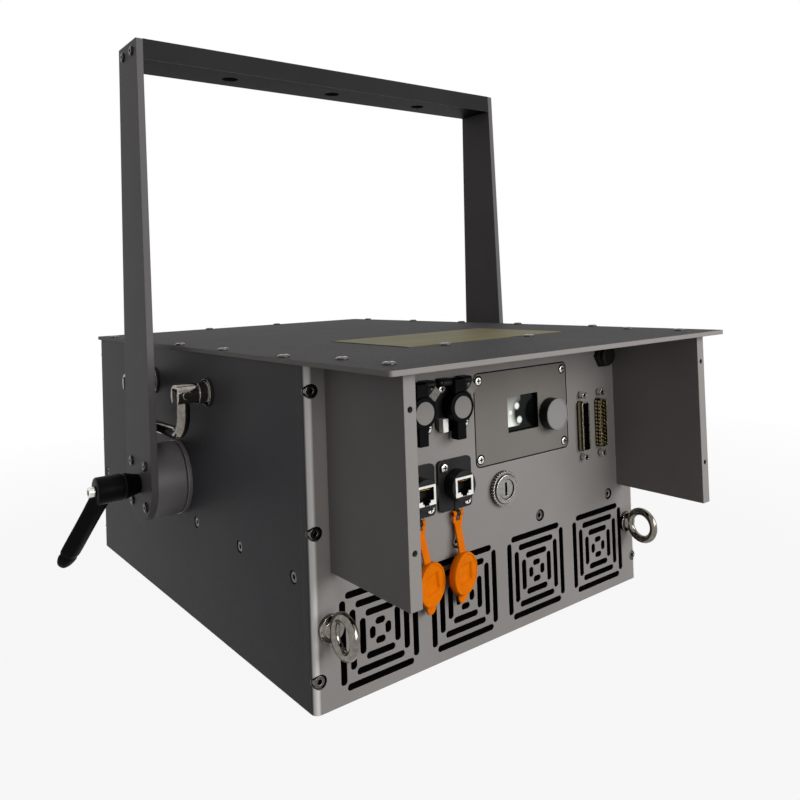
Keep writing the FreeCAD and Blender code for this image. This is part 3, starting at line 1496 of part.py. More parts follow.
def pivot_stud():
    """The +X stud: a flange on the panel, a tail through it and a threaded end for the lever."""
    y, z = middle_y, pivot_level
    plate = rod(half_width, y, z, X_AXIS, stud_flange_radius, stud_flange_thickness)
    tail = rod(inner_half - stud_nut_height, y, z, X_AXIS, stud_inner_radius,
               side_thickness + stud_nut_height)
    stem = rod(half_width, y, z, X_AXIS, stud_radius, stud_end - half_width)
    hole = rod(stud_end + overrun, y, z, -X_AXIS, lever_screw_radius + fit, lever_screw_bite + overrun)
    return fuse(plate, tail, stem).cut(hole)


def stud_nut():
    ring = rod(inner_half - stud_nut_height, middle_y, pivot_level, X_AXIS, stud_nut_radius, stud_nut_height)
    hole = rod(inner_half - stud_nut_height - overrun, middle_y, pivot_level, X_AXIS,
               stud_inner_radius + fit,
               stud_nut_height + overrun * 2)
    return ring.cut(hole)


def lever():
    """The +X clamping lever: a stepped hub on the stud and a tapered arm that leans outwards."""
    y, z = middle_y, pivot_level
    root = hub_length * hub_root_share
    cone = Part.makeCone(hub_root_radius, hub_radius, root, V(hub_start, y, z), X_AXIS)
    hub = rod(hub_start + root, y, z, X_AXIS, hub_radius, hub_length - root)
    end = hub_start + hub_length
    hub = hub.makeFillet(hub_round, circle_edges(hub, hub_radius, lambda centre: centre.x > end - overrun))
    foot = V(hub_start + hub_length * lever_root_share, y, z)
    direction = V(lever_out, 0, -lever_length)
    across = V(lever_length, 0, lever_out).normalize()
    rings = []
    for place_share, size_share in zip(lever_place_shares, lever_size_shares):
        centre = foot + direction * place_share
        ring = Part.Ellipse(centre + across * lever_half_width * size_share,
                            centre + Y_AXIS * lever_half_depth * size_share, centre)
        rings.append(Part.Wire([ring.toShape()]))
    arm = turned(Part.makeLoft(rings, True, False), foot, X_AXIS, -lever_drop_angle)
    shape = fuse(cone, hub, arm)
    bore = stud_end + lever_gap - hub_start + overrun
    tools = [rod(hub_start - overrun, y, z, X_AXIS, stud_radius + running_fit, bore),
             rod(hub_start, y, z, X_AXIS, lever_screw_radius + turning_gap, hub_length * 2),
             rod(end, y, z, X_AXIS, lever_screw_head_radius + turning_gap, hub_length)]
    return shape.cut(tools)


lever_screw_seat = hub_start + hub_length + lever_gap
lever_screw = socket_screw(lever_screw_head_radius, lever_screw_head_height, lever_screw_radius,
                           lever_screw_seat - stud_end + lever_screw_bite, lever_screw_socket,
                           1 - button_round_share)


def save(name, *solids):
    shape = solids[0] if len(solids) == 1 else Part.makeCompound(list(solids))
    shape.exportStep("parts/" + name + ".step")


def pair(name, shape):
    """The same piece on both sides, as two nodes."""
    save("left_" + name, shape)
    save("right_" + name, mirrored(shape))


def both(*shapes):
    """The given +X pieces and their mirror images."""
    return list(shapes) + [mirrored(shape) for shape in shapes]


os.makedirs("parts", exist_ok=True)

# Case
save("bottom_plate", bottom_plate())
save("front_plate", front_plate())
save("rear_plate", rear_plate())
pair("side_panel", side_panel())
save("bench_plate", bench_plate())
save("roof_plate", roof_plate())
save("blank_plate", blank_plate())
save("hood_wings", *both(wing()))

# Cooling
save("heatsink", heatsink())
save("fan_frames", *[fan_frame(x) for x in fan_places])
for number, place in enumerate(fan_places, 1):
    save("fan_rotor_" + str(number), fan_rotor(place))

# Output window and optics
save("window_glass", window_glass())
save("window_frame", window_frame())
save("laser_modules", *[laser_module(x) for x in laser_places])
save("beam_mirrors", *[mirror_plate(x) for x in laser_places])
save("optic_mounts", galvo_block(), *[mirror_mount(x) for x in laser_places])
save("galvo_motors", placed(galvo_motor(), 0, galvo_y, beam_level, Y_AXIS),
     placed(galvo_motor(), 0, galvo_y, galvo_top, -X_AXIS))
save("line_mirror", scan_mirror(-mirror_angle, Y_AXIS, beam_level))
save("frame_mirror", scan_mirror(180 - mirror_angle, -X_AXIS, galvo_top))

# Electronics
save("power_supply", power_supply())
save("circuit_boards",
     *circuit_board(inner_half - board_side_gap - control_board_width,
                    inner_rear - supply_rear_gap - control_board_length,
                    control_board_width, control_board_length),
     *circuit_board(-inner_half + board_side_gap, inner_front + board_front_gap, scan_board_width,
                    scan_board_length))

# Rear fittings
save("power_connectors", *[power_connector(x, z) for x, z in power_places])
save("data_sockets", *[data_socket(x, z) for x, z in data_places])
save("power_inserts", *[piece for x, z in power_places for piece in power_insert(x, z)])
save("network_jacks", *[network_jack(x, z) for x, z in data_places])
for name, index in (("right", 0), ("left", 1)):
    save(name + "_lid", lid(*power_places[index]))
    save(name + "_cap", cap(*data_places[index], cap_lean_angles[index]))
save("data_ports", data_port(*port_places[0], False), data_port(*port_places[1], True))
save("control_plate", control_plate())
save("display_module", display_module())
save("encoder_body", encoder_body())
save("encoder_rotor", encoder_rotor())
save("knob", knob())
save("knob_shaft", knob_shaft())
save("key_switch_body", key_switch_body())
save("key_switch_barrel", key_switch_barrel())
save("vent_plug", vent_plug())
save("eye_bolts", *[eye_bolt(side * eye_place) for side in (1, -1)])

# Side handles
save("handle_posts", *both(*[handle_post(y) for y in post_places]))
save("hinge_pins", *[lid_pin(x, z) for x, z in power_places], *both(*[handle_pin(y) for y in post_places]))
pair("handle", bail())

# Yoke and its clamps
pair("yoke_arm", yoke_arm())
save("yoke_bar", top_bar())
save("pivot_drums", *both(pivot_drum()))
save("yoke_screws", *both(*[placed(yoke_screw, arm_outer, y, z, X_AXIS) for y,
                            z in corner_places + drum_places]))
save("pivot_studs", *both(pivot_stud(), stud_nut()))
pair("lever", lever())
save("lever_screws", *both(placed(lever_screw, lever_screw_seat, middle_y, pivot_level, X_AXIS)))

# Fasteners of the case and the fittings
save("roof_screws", *[placed(roof_screw, x, y, roof_top, Z_AXIS) for x, y in roof_places])
rear_seat = rear_y - counterbore_depth
front_seat = front_y + counterbore_depth
save("panel_screws",
     *[placed(panel_screw, x, rear_seat, z, Y_AXIS) for x, z in end_screw_places],
     *[placed(panel_screw, x, front_seat, z, -Y_AXIS) for x, z in end_screw_places],
     *both(*[placed(panel_screw, half_width - counterbore_depth, y, bench_level, X_AXIS)
             for y in side_screw_places]),
     *[placed(flat_screw(), x, y, 0, -Z_AXIS) for x, y in bottom_screw_places])
flange_seat = rear_y + flange_thickness
jack_places = [(x, z + s * jack_screw_spacing / 2) for x, z in port_places for s in (-1, 1)]
save("fitting_screws",
     *[placed(fitting_screw, x, flange_seat, z, Y_AXIS) for x,
       z in flange_screws(power_places + data_places)],
     *[placed(fitting_screw, x, rear_y - control_bore_depth, z, Y_AXIS) for x, z in control_screw_places],
     *[placed(jack_screw(), x, rear_y, z, Y_AXIS) for x, z in jack_places],
     *[placed(fitting_screw, x, front_y - frame_thickness, z, -Y_AXIS) for x, z in frame_screw_places],
     *[placed(fan_screw, x, fan_front, z, -Y_AXIS) for x, z in fan_screw_places])
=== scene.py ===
import math
import bmesh
import bpy
import numpy as np
from mathutils import Euler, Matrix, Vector


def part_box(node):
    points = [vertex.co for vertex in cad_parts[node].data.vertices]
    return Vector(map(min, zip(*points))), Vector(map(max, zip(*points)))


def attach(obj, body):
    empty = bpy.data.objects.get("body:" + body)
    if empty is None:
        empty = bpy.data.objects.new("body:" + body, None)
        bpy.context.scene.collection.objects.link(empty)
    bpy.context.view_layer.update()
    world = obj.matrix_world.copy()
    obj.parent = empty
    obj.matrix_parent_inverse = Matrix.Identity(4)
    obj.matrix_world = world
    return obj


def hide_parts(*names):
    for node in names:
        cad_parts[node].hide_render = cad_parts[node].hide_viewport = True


# Laser show projector on a yoke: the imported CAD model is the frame, in metres.
# +Z is up, +Y is the rear with the connectors, -Y is the front with the window.
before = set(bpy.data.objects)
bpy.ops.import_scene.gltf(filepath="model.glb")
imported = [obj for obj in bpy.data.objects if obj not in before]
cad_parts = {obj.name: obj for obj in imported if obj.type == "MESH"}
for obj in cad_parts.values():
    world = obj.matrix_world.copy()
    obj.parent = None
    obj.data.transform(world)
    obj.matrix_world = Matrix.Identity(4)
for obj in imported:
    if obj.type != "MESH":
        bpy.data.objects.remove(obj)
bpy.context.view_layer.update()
MM = 0.001


# Bench plate and heat sink.
# The bench is a thick milled aluminium plate that the optics stand on, screwed to the plates round it;
# the finned block under it is extruded, left bare, and carries the bottom plate on two rails.
def colour(code):
    """A linear RGBA colour from an sRGB hex value, by the sRGB transfer curve."""
    parts = [int(code[i:i + 2], 16) / 255 for i in (1, 3, 5)]
    return [c / 12.92 if c <= 0.04045 else ((c + 0.055) / 1.055) ** 2.4 for c in parts] + [1.0]


def add(tree, kind, out, inputs=None, **settings):
    """Adds one node: settings are its own properties, each input gets a value or a link, and one
    output comes back."""
    made = tree.nodes.new("ShaderNode" + kind)
    for name, value in settings.items():
        setattr(made, name, value)
    for name, value in (inputs or {}).items():
        if isinstance(value, bpy.types.NodeSocket):
            tree.links.new(value, made.inputs[name])
        else:
            made.inputs[name].default_value = value
    return made.outputs[out]


# Where noise mostly lies, the cosines between which an edge's normal turns, and shares of rubbing there.
NOISE_RANGE = (0.3, 0.7)
EDGE_TURN = (0.99, 0.86)
RUB_ALL_ALONG, RUB_IN_PATCHES = 0.5, 0.7


def surface(name, shades, rough, patch_mm, grain_mm, depth_mm, worn=None, edge_mm=0.4, stretch=(1, 1, 1),
            **sockets):
    """A finish from two noises on Object coordinates, with feature sizes in millimetres: the patches
    move the colour between two shades, and the grain moves the roughness and the height. Sharp edges
    get a rounded normal, and the worn colour all along them, more of it in the patches."""
    material = bpy.data.materials.new(name)
    material.use_nodes = True
    tree = material.node_tree
    shader = tree.nodes["Principled BSDF"]
    for socket, value in sockets.items():
        shader.inputs[socket.replace("_", " ")].default_value = value
    place = add(tree, "TexCoord", "Object")
    drawn = add(tree, "Mapping", 0, {"Vector": place, "Scale": [1 / s for s in stretch]})
    patch = add(tree, "TexNoise", "Fac", {"Vector": drawn, "Scale": 1 / (patch_mm * MM), "Detail": 2.0})
    grain = add(tree, "TexNoise", "Fac", {"Vector": drawn, "Scale": 1 / (grain_mm * MM), "Detail": 3.0})
    spread = {"From Min": NOISE_RANGE[0], "From Max": NOISE_RANGE[1]}
    blend = add(tree, "MapRange", 0, {"Value": patch, **spread})
    shade = {"Factor": blend, 6: colour(shades[0]), 7: colour(shades[1])}
    tint = add(tree, "Mix", 2, shade, data_type="RGBA")
    rounded = add(tree, "Bevel", 0, {"Radius": edge_mm * MM}, samples=4)
    if worn:
        flat = add(tree, "NewGeometry", "Normal")
        turn = add(tree, "VectorMath", "Value", {0: rounded, 1: flat}, operation="DOT_PRODUCT")
        edge = add(tree, "MapRange", 0, {"Value": turn, "From Min": EDGE_TURN[0], "From Max": EDGE_TURN[1]})
        rub = add(tree, "Math", 0, {0: edge, 1: blend}, operation="MULTIPLY")
        rub = add(tree, "Math", 0, {0: rub, 1: RUB_IN_PATCHES}, operation="MINIMUM")
        rub = add(tree, "Math", 0, {0: edge, 1: RUB_ALL_ALONG, 2: rub}, operation="MULTIPLY_ADD",
                  use_clamp=True)
        tint = add(tree, "Mix", 2, {"Factor": rub, 6: tint, 7: colour(worn)}, data_type="RGBA")
    tree.links.new(tint, shader.inputs["Base Color"])
    gloss = add(tree, "MapRange", 0, {"Value": grain, **spread, "To Min": rough[0], "To Max": rough[1]})
    tree.links.new(gloss, shader.inputs["Roughness"])
    bump = add(tree, "Bump", 0, {"Height": grain, "Distance": depth_mm * MM, "Normal": rounded})
    tree.links.new(bump, shader.inputs["Normal"])
    return material


def dress(material, *names):
    """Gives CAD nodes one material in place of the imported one."""
    for name in names:
        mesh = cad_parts[name].data
        mesh.materials.clear()
        mesh.materials.append(material)


# Milled aluminium: bright, with fine cutter lines that run along the plate.
milled = surface("milled_aluminium", ("#8f9092", "#b9babc"), rough=(0.28, 0.42), patch_mm=0.9, grain_mm=0.9,
                 depth_mm=0.02, worn="#dcdddf", stretch=(1, 60, 60), Metallic=1.0)
dress(milled, "bench_plate", "heatsink")

# Fans.
# Four axial fans stand behind the lower grilles, moulded in black glass-filled plastic with swept
# blades on a cup, and each is held by long screws through its frame.
FAN_COUNT = 4
# Glass-filled nylon: dull black with a fine grain and slightly grey edges.
fan_nylon = surface("glass_filled_nylon", ("#0c0c0d", "#131314"), rough=(0.5, 0.64), patch_mm=14.0,
                    grain_mm=0.8, depth_mm=0.03, worn="#3a3a3c", IOR=1.49, Specular_IOR_Level=0.2)
dress(fan_nylon, "fan_frames", *["fan_rotor_%d" % number for number in range(1, FAN_COUNT + 1)])

# Lasers, mirrors and scanners.
# Three sealed laser blocks send their beams to slanted mirrors, and two small galvo motors in a
# clamped block scan them out of the window; housings are milled, mirrors are coated glass.
dress(milled, "laser_modules", "optic_mounts")
# Turned steel: grey, with rings from the lathe.
motor_steel = surface("turned_steel_can", ("#56575b", "#7c7d82"), rough=(0.22, 0.4), patch_mm=3.0,
                      grain_mm=0.7, depth_mm=0.01, worn="#a0a1a5", stretch=(20, 20, 1), Metallic=1.0)
dress(motor_steel, "galvo_motors")
# Dielectric mirror: clear reflection with a cold tint and a trace of haze.
coated_mirror = surface("dielectric_mirror", ("#c9d6e6", "#e2dcea"), rough=(0.02, 0.08), patch_mm=6.0,
                        grain_mm=6.0, depth_mm=0.0, edge_mm=0.1, Metallic=1.0)
dress(coated_mirror, "beam_mirrors", "line_mirror", "frame_mirror")


# Power supply and circuit boards.
# The supply sits in a folded galvanised steel cage with a terminal strip at its end, and the boards are
# green glass-epoxy with black packages, on plain spacers.
def zone(tree, **ranges):
    """A mask that is 1 inside a box on Object coordinates, given as x, y or z ranges in millimetres."""
    place = add(tree, "TexCoord", "Object")
    axes = add(tree, "SeparateXYZ", 0, {"Vector": place}).node.outputs
    mask = None
    for axis, (low, high) in ranges.items():
        inside = add(tree, "Math", 0, {0: axes[axis.upper()], 1: (low + high) / 2 * MM,
                                       2: (high - low) / 2 * MM}, operation="COMPARE")
        mask = add(tree, "Math", 0, {0: inside, 1: mask}, operation="MULTIPLY") if mask else inside
    return mask


def paint(material, mask, second):
    """Lays a second colour, given as a hex value or an output, over a finish where the mask is 1."""
    tree = material.node_tree
    base = tree.nodes["Principled BSDF"].inputs["Base Color"]
    over = colour(second) if isinstance(second, str) else second
    inputs = {"Factor": mask, 6: base.links[0].from_socket, 7: over}
    tree.links.new(add(tree, "Mix", 2, inputs, data_type="RGBA"), base)


# Galvanised steel: pale, with the frosty patches of the zinc bath.
galvanised = surface("galvanised_steel", ("#8e9193", "#b4b7b8"), rough=(0.3, 0.5), patch_mm=7.0,
                     grain_mm=3.0, depth_mm=0.01, worn="#c8cacb", Metallic=1.0)
dress(galvanised, "power_supply")
# Glass-epoxy: green lacquer over copper tracks, with dull black packages standing on it.
TRACK_GRID_MM, TRACK_SHARE = 9.0, 0.06
BOARD_FACE_MM = 9.8
epoxy = surface("glass_epoxy_board", ("#101011", "#1a1a1b"), rough=(0.3, 0.45), patch_mm=3.0, grain_mm=1.0,
                depth_mm=0.01, IOR=1.55)
tree = epoxy.node_tree
tracks = add(tree, "TexBrick", 0, {"Vector": add(tree, "TexCoord", "Object"),
                                   "Scale": 1 / (TRACK_GRID_MM * MM), "Mortar Size": TRACK_SHARE,
                                   "Color1": colour("#0d3a1c"), "Color2": colour("#114a24"),
                                   "Mortar": colour("#2d7a44")})
board_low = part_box("circuit_boards")[0].z / MM
paint(epoxy, zone(tree, z=(board_low, board_low + BOARD_FACE_MM)), tracks)
dress(epoxy, "circuit_boards")


# Case plates.
# Aluminium plates are bead blasted and anodised dark grey, and screwed together at their edges; the
# end plates stand over the others with rounded upright corners, which get a painted highlight.
def facing(tree, axis):
    """How squarely a face looks along one axis of the object: the size of its normal's part, 0 to 1."""
    normal = add(tree, "TexCoord", "Normal")
    part = add(tree, "SeparateXYZ", axis, {"Vector": normal})
    return add(tree, "Math", 0, {0: part}, operation="ABSOLUTE")


# Anodised aluminium: dull metallic grey, finely grained, with a light line along each edge. Blasting
# grit is finer than a pixel here, so the grain is drawn at about a millimetre.
ANODISED = dict(rough=(0.42, 0.54), patch_mm=70.0, grain_mm=1.1, depth_mm=0.01, edge_mm=0.6, Metallic=0.04,
                Specular_IOR_Level=0.06)
end_anodised = surface("anodised_end_plates", ("#86827f", "#8f8b88"), worn="#a8a5a2", **ANODISED)
rear_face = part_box("rear_plate")[1].y / MM
front_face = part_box("front_plate")[0].y / MM
case_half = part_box("rear_plate")[1].x / MM
CORNER_MM = 5.6
SKIN_MM = 0.5
CORNER_TURN, OUTER_TURN = (0.1, 0.4), (0.85, 0.97)
between = (-case_half + CORNER_MM, case_half - CORNER_MM)
tree = end_anodised.node_tree
# Painted highlight on the rounded upright corners, outside the flat middle of the plates.
corner = add(tree, "Math", 0, {0: facing(tree, "X"), 1: facing(tree, "Y")}, operation="MULTIPLY")
corner = add(tree, "MapRange", 0, {"Value": corner, "From Min": CORNER_TURN[0], "From Max": CORNER_TURN[1]})
corner_highlight = add(tree, "Math", 0, {0: corner, 1: zone(tree, x=between)}, operation="SUBTRACT", use_clamp=True)
paint(end_anodised, corner_highlight, "#e6e3df")
# Their narrow outer sides get painted shade, as dark as the side panels.
outer = add(tree, "MapRange", 0, {"Value": facing(tree, "X"), "From Min": OUTER_TURN[0],
                                  "From Max": OUTER_TURN[1]})
paint(end_anodised, outer, "#4b494c")
# The walls of the slots and openings get painted shade, near black, where they lie in the dark.
paint(end_anodised, zone(tree, x=between, y=(front_face + SKIN_MM, rear_face - SKIN_MM)), "#0d0d0d")
dress(end_anodised, "front_plate", "rear_plate")
# The side and bottom plates are a darker copy of the end plates' anodising: painted shade for the less light
# on those sides.
side_anodised = surface("anodised_side_plates", ("#454347", "#4b494c"), worn="#8d8a8a", **ANODISED)
dress(side_anodised, "bottom_plate", "left_side_panel", "right_side_panel")
# The wings' ends get painted light, lighter than their faces.
wing_anodised = surface("anodised_wings", ("#7e7a79", "#858180"), worn="#a39f9d", **ANODISED)
paint(wing_anodised, facing(wing_anodised.node_tree, "Y"), "#8f8b88")
dress(wing_anodised, "hood_wings")

# Output window.
# A coated glass plate lies in a rebate of the front plate and is held by an anodised bezel with six
# screws; the coating gives a faint warm and green sheen.
# Coated glass: clear, with the coating's soft green in its reflections and faint smears.
window = surface("coated_window_glass", ("#dfeae4", "#eef3f0"), rough=(0.01, 0.05), patch_mm=40.0,
                 grain_mm=40.0, depth_mm=0.0, edge_mm=0.2, IOR=1.52, Transmission_Weight=0.92,
                 Coat_Weight=0.4, Coat_Tint=colour("#b7d6c2"))
dress(window, "window_glass")
dress(side_anodised, "window_frame")

# Power connectors with their spring lids.
# Round locking inlets in black glass-filled nylon; the lid is moulded in a smoother black with a grey
# disc on its face, and the latch key on the flange is natural nylon.
# Connector nylon: deep black with a dull skin.
connector_nylon = surface("connector_nylon", ("#151516", "#1d1d1d"), rough=(0.42, 0.56), patch_mm=12.0,
                          grain_mm=0.9, depth_mm=0.02, worn="#3c3c3d", IOR=1.5, Specular_IOR_Level=0.14)
dress(connector_nylon, "power_connectors", "data_sockets", "encoder_rotor", "vent_plug")
# Lid elastomer: black, a little smoother, with the inlaid disc in warm grey.
LID_DISC_MM = 0.5
lid_rubber = surface("lid_elastomer", ("#040404", "#080808"), rough=(0.36, 0.5), patch_mm=10.0, grain_mm=0.9,
                     depth_mm=0.02, worn="#2a2a2b", IOR=1.5, Specular_IOR_Level=0.04)
lid_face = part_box("right_lid")[1].y / MM
lid_disc = zone(lid_rubber.node_tree, y=(lid_face - LID_DISC_MM / 2, lid_face + LID_DISC_MM))
paint(lid_rubber, lid_disc, "#8b8885")
dress(lid_rubber, "right_lid", "left_lid")
# Natural nylon: milky white with a soft skin.
natural_nylon = surface("natural_nylon", ("#dad9d4", "#efeeea"), rough=(0.35, 0.5), patch_mm=4.0,
                        grain_mm=2.0, depth_mm=0.01, edge_mm=0.3, IOR=1.53)
dress(natural_nylon, "power_inserts")


# Network sockets.
# Round sockets with square flanges, moulded in black nylon and screwed to the plate; the white jack in
# each opening holds eight spring contacts, bent from gold-plated wire.
def skin(name, body, material, shells, sharp_degrees=40.0):
    """One mesh from shells, each an array of rings by points by xyz in millimetres and whether it closes
    on itself. Rings are joined by quads; an open shell's end rings become its end faces."""
    points, faces, count = [], [], 0
    for rings, looped in shells:
        index = count + np.arange(rings.shape[0] * rings.shape[1]).reshape(rings.shape[:2])
        near, far = (index, np.roll(index, -1, 0)) if looped else (index[:-1], index[1:])
        quads = np.stack([near, np.roll(near, -1, 1), np.roll(far, -1, 1), far], -1).reshape(-1, 4)
        faces += quads.tolist() + ([] if looped else [index[0].tolist(), index[-1].tolist()])
        points.append(rings.reshape(-1, 3))
        count += index.size
    mesh = bpy.data.meshes.new(name)
    mesh.from_pydata((np.concatenate(points) * MM).tolist(), [], faces)
    outward = bmesh.new()
    outward.from_mesh(mesh)
    bmesh.ops.recalc_face_normals(outward, faces=outward.faces)
    outward.to_mesh(mesh)
    outward.free()
    mesh.shade_smooth()
    mesh.set_sharp_from_angle(angle=math.radians(sharp_degrees))
    mesh.materials.append(material)
    piece = bpy.data.objects.new(name, mesh)
    bpy.context.scene.collection.objects.link(piece)
    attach(piece, body)
    return piece


def sweep(path, wide, deep, across, power=2.0, count=28):
    """A superellipse |u / wide|^p + |v / deep|^p = 1 carried along a path: u lies along the given
    direction, made square to the path, and v is square to both."""
    path = np.asarray(path, float)
    wide, deep, power = [np.broadcast_to(np.asarray(value, float), len(path))[:, None, None]
                         for value in (wide, deep, power)]
    along = np.gradient(path, axis=0)
    along /= np.linalg.norm(along, axis=1)[:, None]
    u = np.asarray(across, float) - (along @ np.asarray(across, float))[:, None] * along
    u /= np.linalg.norm(u, axis=1)[:, None]
    v = np.cross(along, u)
    t = np.linspace(0, 2 * np.pi, count, endpoint=False)[None, :, None]
    c, s = np.cos(t), np.sin(t)
    return (path[:, None] + u[:, None] * wide * np.sign(c) * np.abs(c) ** (2 / power)
            + v[:, None] * deep * np.sign(s) * np.abs(s) ** (2 / power))


SOCKET_X = {"right": 41.39, "left": 72.89}
SOCKET_Z = 112.28
SIDEWAYS = (1, 0, 0)
FLAT_POWER = 4.0
# Jack plastic: white, with painted shade, near black, inside it behind its front edge.
JACK_LIT_MM, JACK_DEPTH_MM = 0.4, 20.0
jack_white = surface("white_jack_plastic", ("#e4e4e0", "#f2f2ee"), rough=(0.35, 0.5), patch_mm=4.0,
                     grain_mm=2.0, depth_mm=0.01, edge_mm=0.2, IOR=1.53)
jack_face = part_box("network_jacks")[1].y / MM
jack_inside_shade = zone(jack_white.node_tree, y=(jack_face - JACK_DEPTH_MM, jack_face - JACK_LIT_MM))
paint(jack_white, jack_inside_shade, "#050505")
dress(jack_white, "network_jacks")
CONTACT_COUNT, CONTACT_PITCH_MM = 8, 1.02
CONTACT_FROM_MM, CONTACT_RUN_MM = (-1.2, 3.6), (-6.0, -3.2)
CONTACT_HALF_MM = (0.22, 0.16)
CONTACT_BEND = 1.5


def jack_contact(middle, number):
    """One contact: a flat wire whose path goes back evenly with s and down with s to a power, so that it
    bends away from the opening."""
    s = np.linspace(0, 1, 12)
    x = middle + (number - (CONTACT_COUNT - 1) / 2) * CONTACT_PITCH_MM
    back = jack_face + CONTACT_FROM_MM[0] + CONTACT_RUN_MM[0] * s
    down = SOCKET_Z + CONTACT_FROM_MM[1] + CONTACT_RUN_MM[1] * s ** CONTACT_BEND
    path = np.stack([np.full_like(s, x), back, down], -1)
    return sweep(path, *CONTACT_HALF_MM, SIDEWAYS, FLAT_POWER, count=8)


# Gold plating: warm and bright, a little scuffed.
gold = surface("gold_plated_contacts", ("#8a6a24", "#b08a34"), rough=(0.2, 0.35), patch_mm=2.0, grain_mm=0.6,
               depth_mm=0.0, edge_mm=0.05, Metallic=1.0)
contacts = [(jack_contact(x, number), False) for x in SOCKET_X.values() for number in range(CONTACT_COUNT)]
skin("jack_contacts", "case", gold, contacts)


# Grip pads of the spring lids.
# A small ribbed pad of grey plastic is moulded on the upper corner of each power connector's lid, for
# the thumb that lifts it.
POWER_Z = 163.67
PAD_FROM_MM, PAD_TO_MM = (-6.9, 10.6, 8.0), (-12.4, 10.6, 13.6)
PAD_HALF_MM, PAD_ACROSS, PAD_POWER = 3.0, (0.76, 0, 0.65), 8.0
PAD_THICK_MM, PAD_RIB_MM, PAD_RIBS = 0.7, 0.3, 5
PAD_END_SHARE, PAD_END_SLOPE = 0.3, 30


def grip_pad(x):
    """One pad: a flat bar between two points, with half its thickness a + b cos(2 pi n s) for n ribs,
    drawn in at both ends."""
    s = np.linspace(0, 1, 60)
    first, last = [np.array((x, rear_face, POWER_Z)) + offset for offset in (PAD_FROM_MM, PAD_TO_MM)]
    ends = np.clip(np.minimum(s, 1 - s) * PAD_END_SLOPE, PAD_END_SHARE, 1)
    thick = (PAD_THICK_MM + PAD_RIB_MM * np.cos(s * 2 * np.pi * PAD_RIBS)) * ends
    return sweep(first + (last - first) * s[:, None], PAD_HALF_MM, thick, PAD_ACROSS, PAD_POWER, count=40)


# Pad plastic: plain warm grey with a dull skin.
pad_grey = surface("grey_grip_pad", ("#8d8a84", "#99968f"), rough=(0.45, 0.6), patch_mm=6.0, grain_mm=0.9,
                   depth_mm=0.02, IOR=1.5, Specular_IOR_Level=0.15)
for side, x in SOCKET_X.items():
    skin(side + "_lid_grip", side + "_lid", pad_grey, [(grip_pad(x), False)])


# Rubber caps of the network sockets.
# Each cap is one moulding of orange thermoplastic rubber: a round plug with a square hollow, a ribbed
# finger tab, and a flat strap whose forked end snaps over the pin below the socket.
def lathe(profile, centre, axis, count=72):
    """A profile of radius and height turned about an axis: each ring is the centre, plus its height along
    the axis, plus its radius times (cos t, sin t) across it."""
    radius, height = np.array(profile, float).T[:, :, None]
    t = np.linspace(0, 2 * np.pi, count, endpoint=False)
    parts = [height + 0 * t, radius * np.cos(t), radius * np.sin(t)]
    return np.stack(np.roll(parts, "xyz".index(axis), axis=0), -1) + np.array(centre, float)


def turned(points, centre, axis, degrees):
    """Points turned about a line through a centre: on the two coordinates after the axis in cyclic order,
    u' = u cos a - v sin a and v' = u sin a + v cos a."""
    i = "xyz".index(axis)
    a = math.radians(degrees)
    moved = points - centre
    u, v = moved[..., (i + 1) % 3].copy(), moved[..., (i + 2) % 3].copy()
    moved[..., (i + 1) % 3] = u * math.cos(a) - v * math.sin(a)
    moved[..., (i + 2) % 3] = u * math.sin(a) + v * math.cos(a)
    return moved + centre


EYE_DROP_MM, EYE_OUT_MM = 19.0, 2.8
CAP_DROP_MM, CAP_OUT_MM = 57.0, 7.3
CAP_RADIUS_MM, CAP_HALF_MM = 13.6, 2.7
CAP_TURN = 16.0
CAP_LEANS = {"right": 0.0, "left": 5.5}
# The rim's profile: how far each point lies inside the radius, and how far below the back or the front.
BACK_RIM_MM = ((4.0, 0.0), (1.0, 0.0), (0.3, 0.3), (0.0, 1.0))
FRONT_RIM_MM = ((0.0, 1.0), (0.3, 0.3), (0.9, 0.0), (1.5, 0.1), (1.8, 0.55))
BACK_POLE_MM, FRONT_POLE_MM = 0.5, 0.3
FACE_INSET_MM, FACE_DROP_MM = 2.4, 0.6
HOLLOW_HALF_MM, HOLLOW_MM, HOLLOW_SOFT_MM = (6.4, 5.6), 1.7, 0.28


def cap_plug():
    """The plug: a profile turned on a lathe, whose face sinks into a square hollow by the product of
    1 / (1 + exp((|x| - half) / soft)) across and the same upright."""
    r, h = CAP_RADIUS_MM, CAP_HALF_MM
    back = [(r - inset, -h + drop) for inset, drop in BACK_RIM_MM]
    front = [(r - inset, h - drop) for inset, drop in FRONT_RIM_MM]
    face = [(radius, h - FACE_DROP_MM) for radius in np.linspace(r - FACE_INSET_MM, FRONT_POLE_MM, 34)]
    plug = lathe([(BACK_POLE_MM, -h)] + back + front + face, (0, 0, 0), "y", count=120)
    inside = [1 / (1 + np.exp((np.abs(plug[..., i]) - half) / HOLLOW_SOFT_MM))
              for i, half in zip((0, 2), HOLLOW_HALF_MM)]
    plug[..., 1] -= HOLLOW_MM * inside[0] * inside[1] * (plug[..., 1] > 0)
    return plug


TAB_START_SHARE, TAB_REACH_MM, TAB_BACK_MM = 0.6, 19.5, -1.35
TAB_WIDE_MM, TAB_THICK_MM = 5.0, 1.15
TAB_TIP_SHARE, TAB_TIP_LIMIT = 0.25, 0.998
RIB_MM, RIB_PITCH_MM, RIB_CLEAR_MM = 0.22, 1.6, (0.6, 1.0)


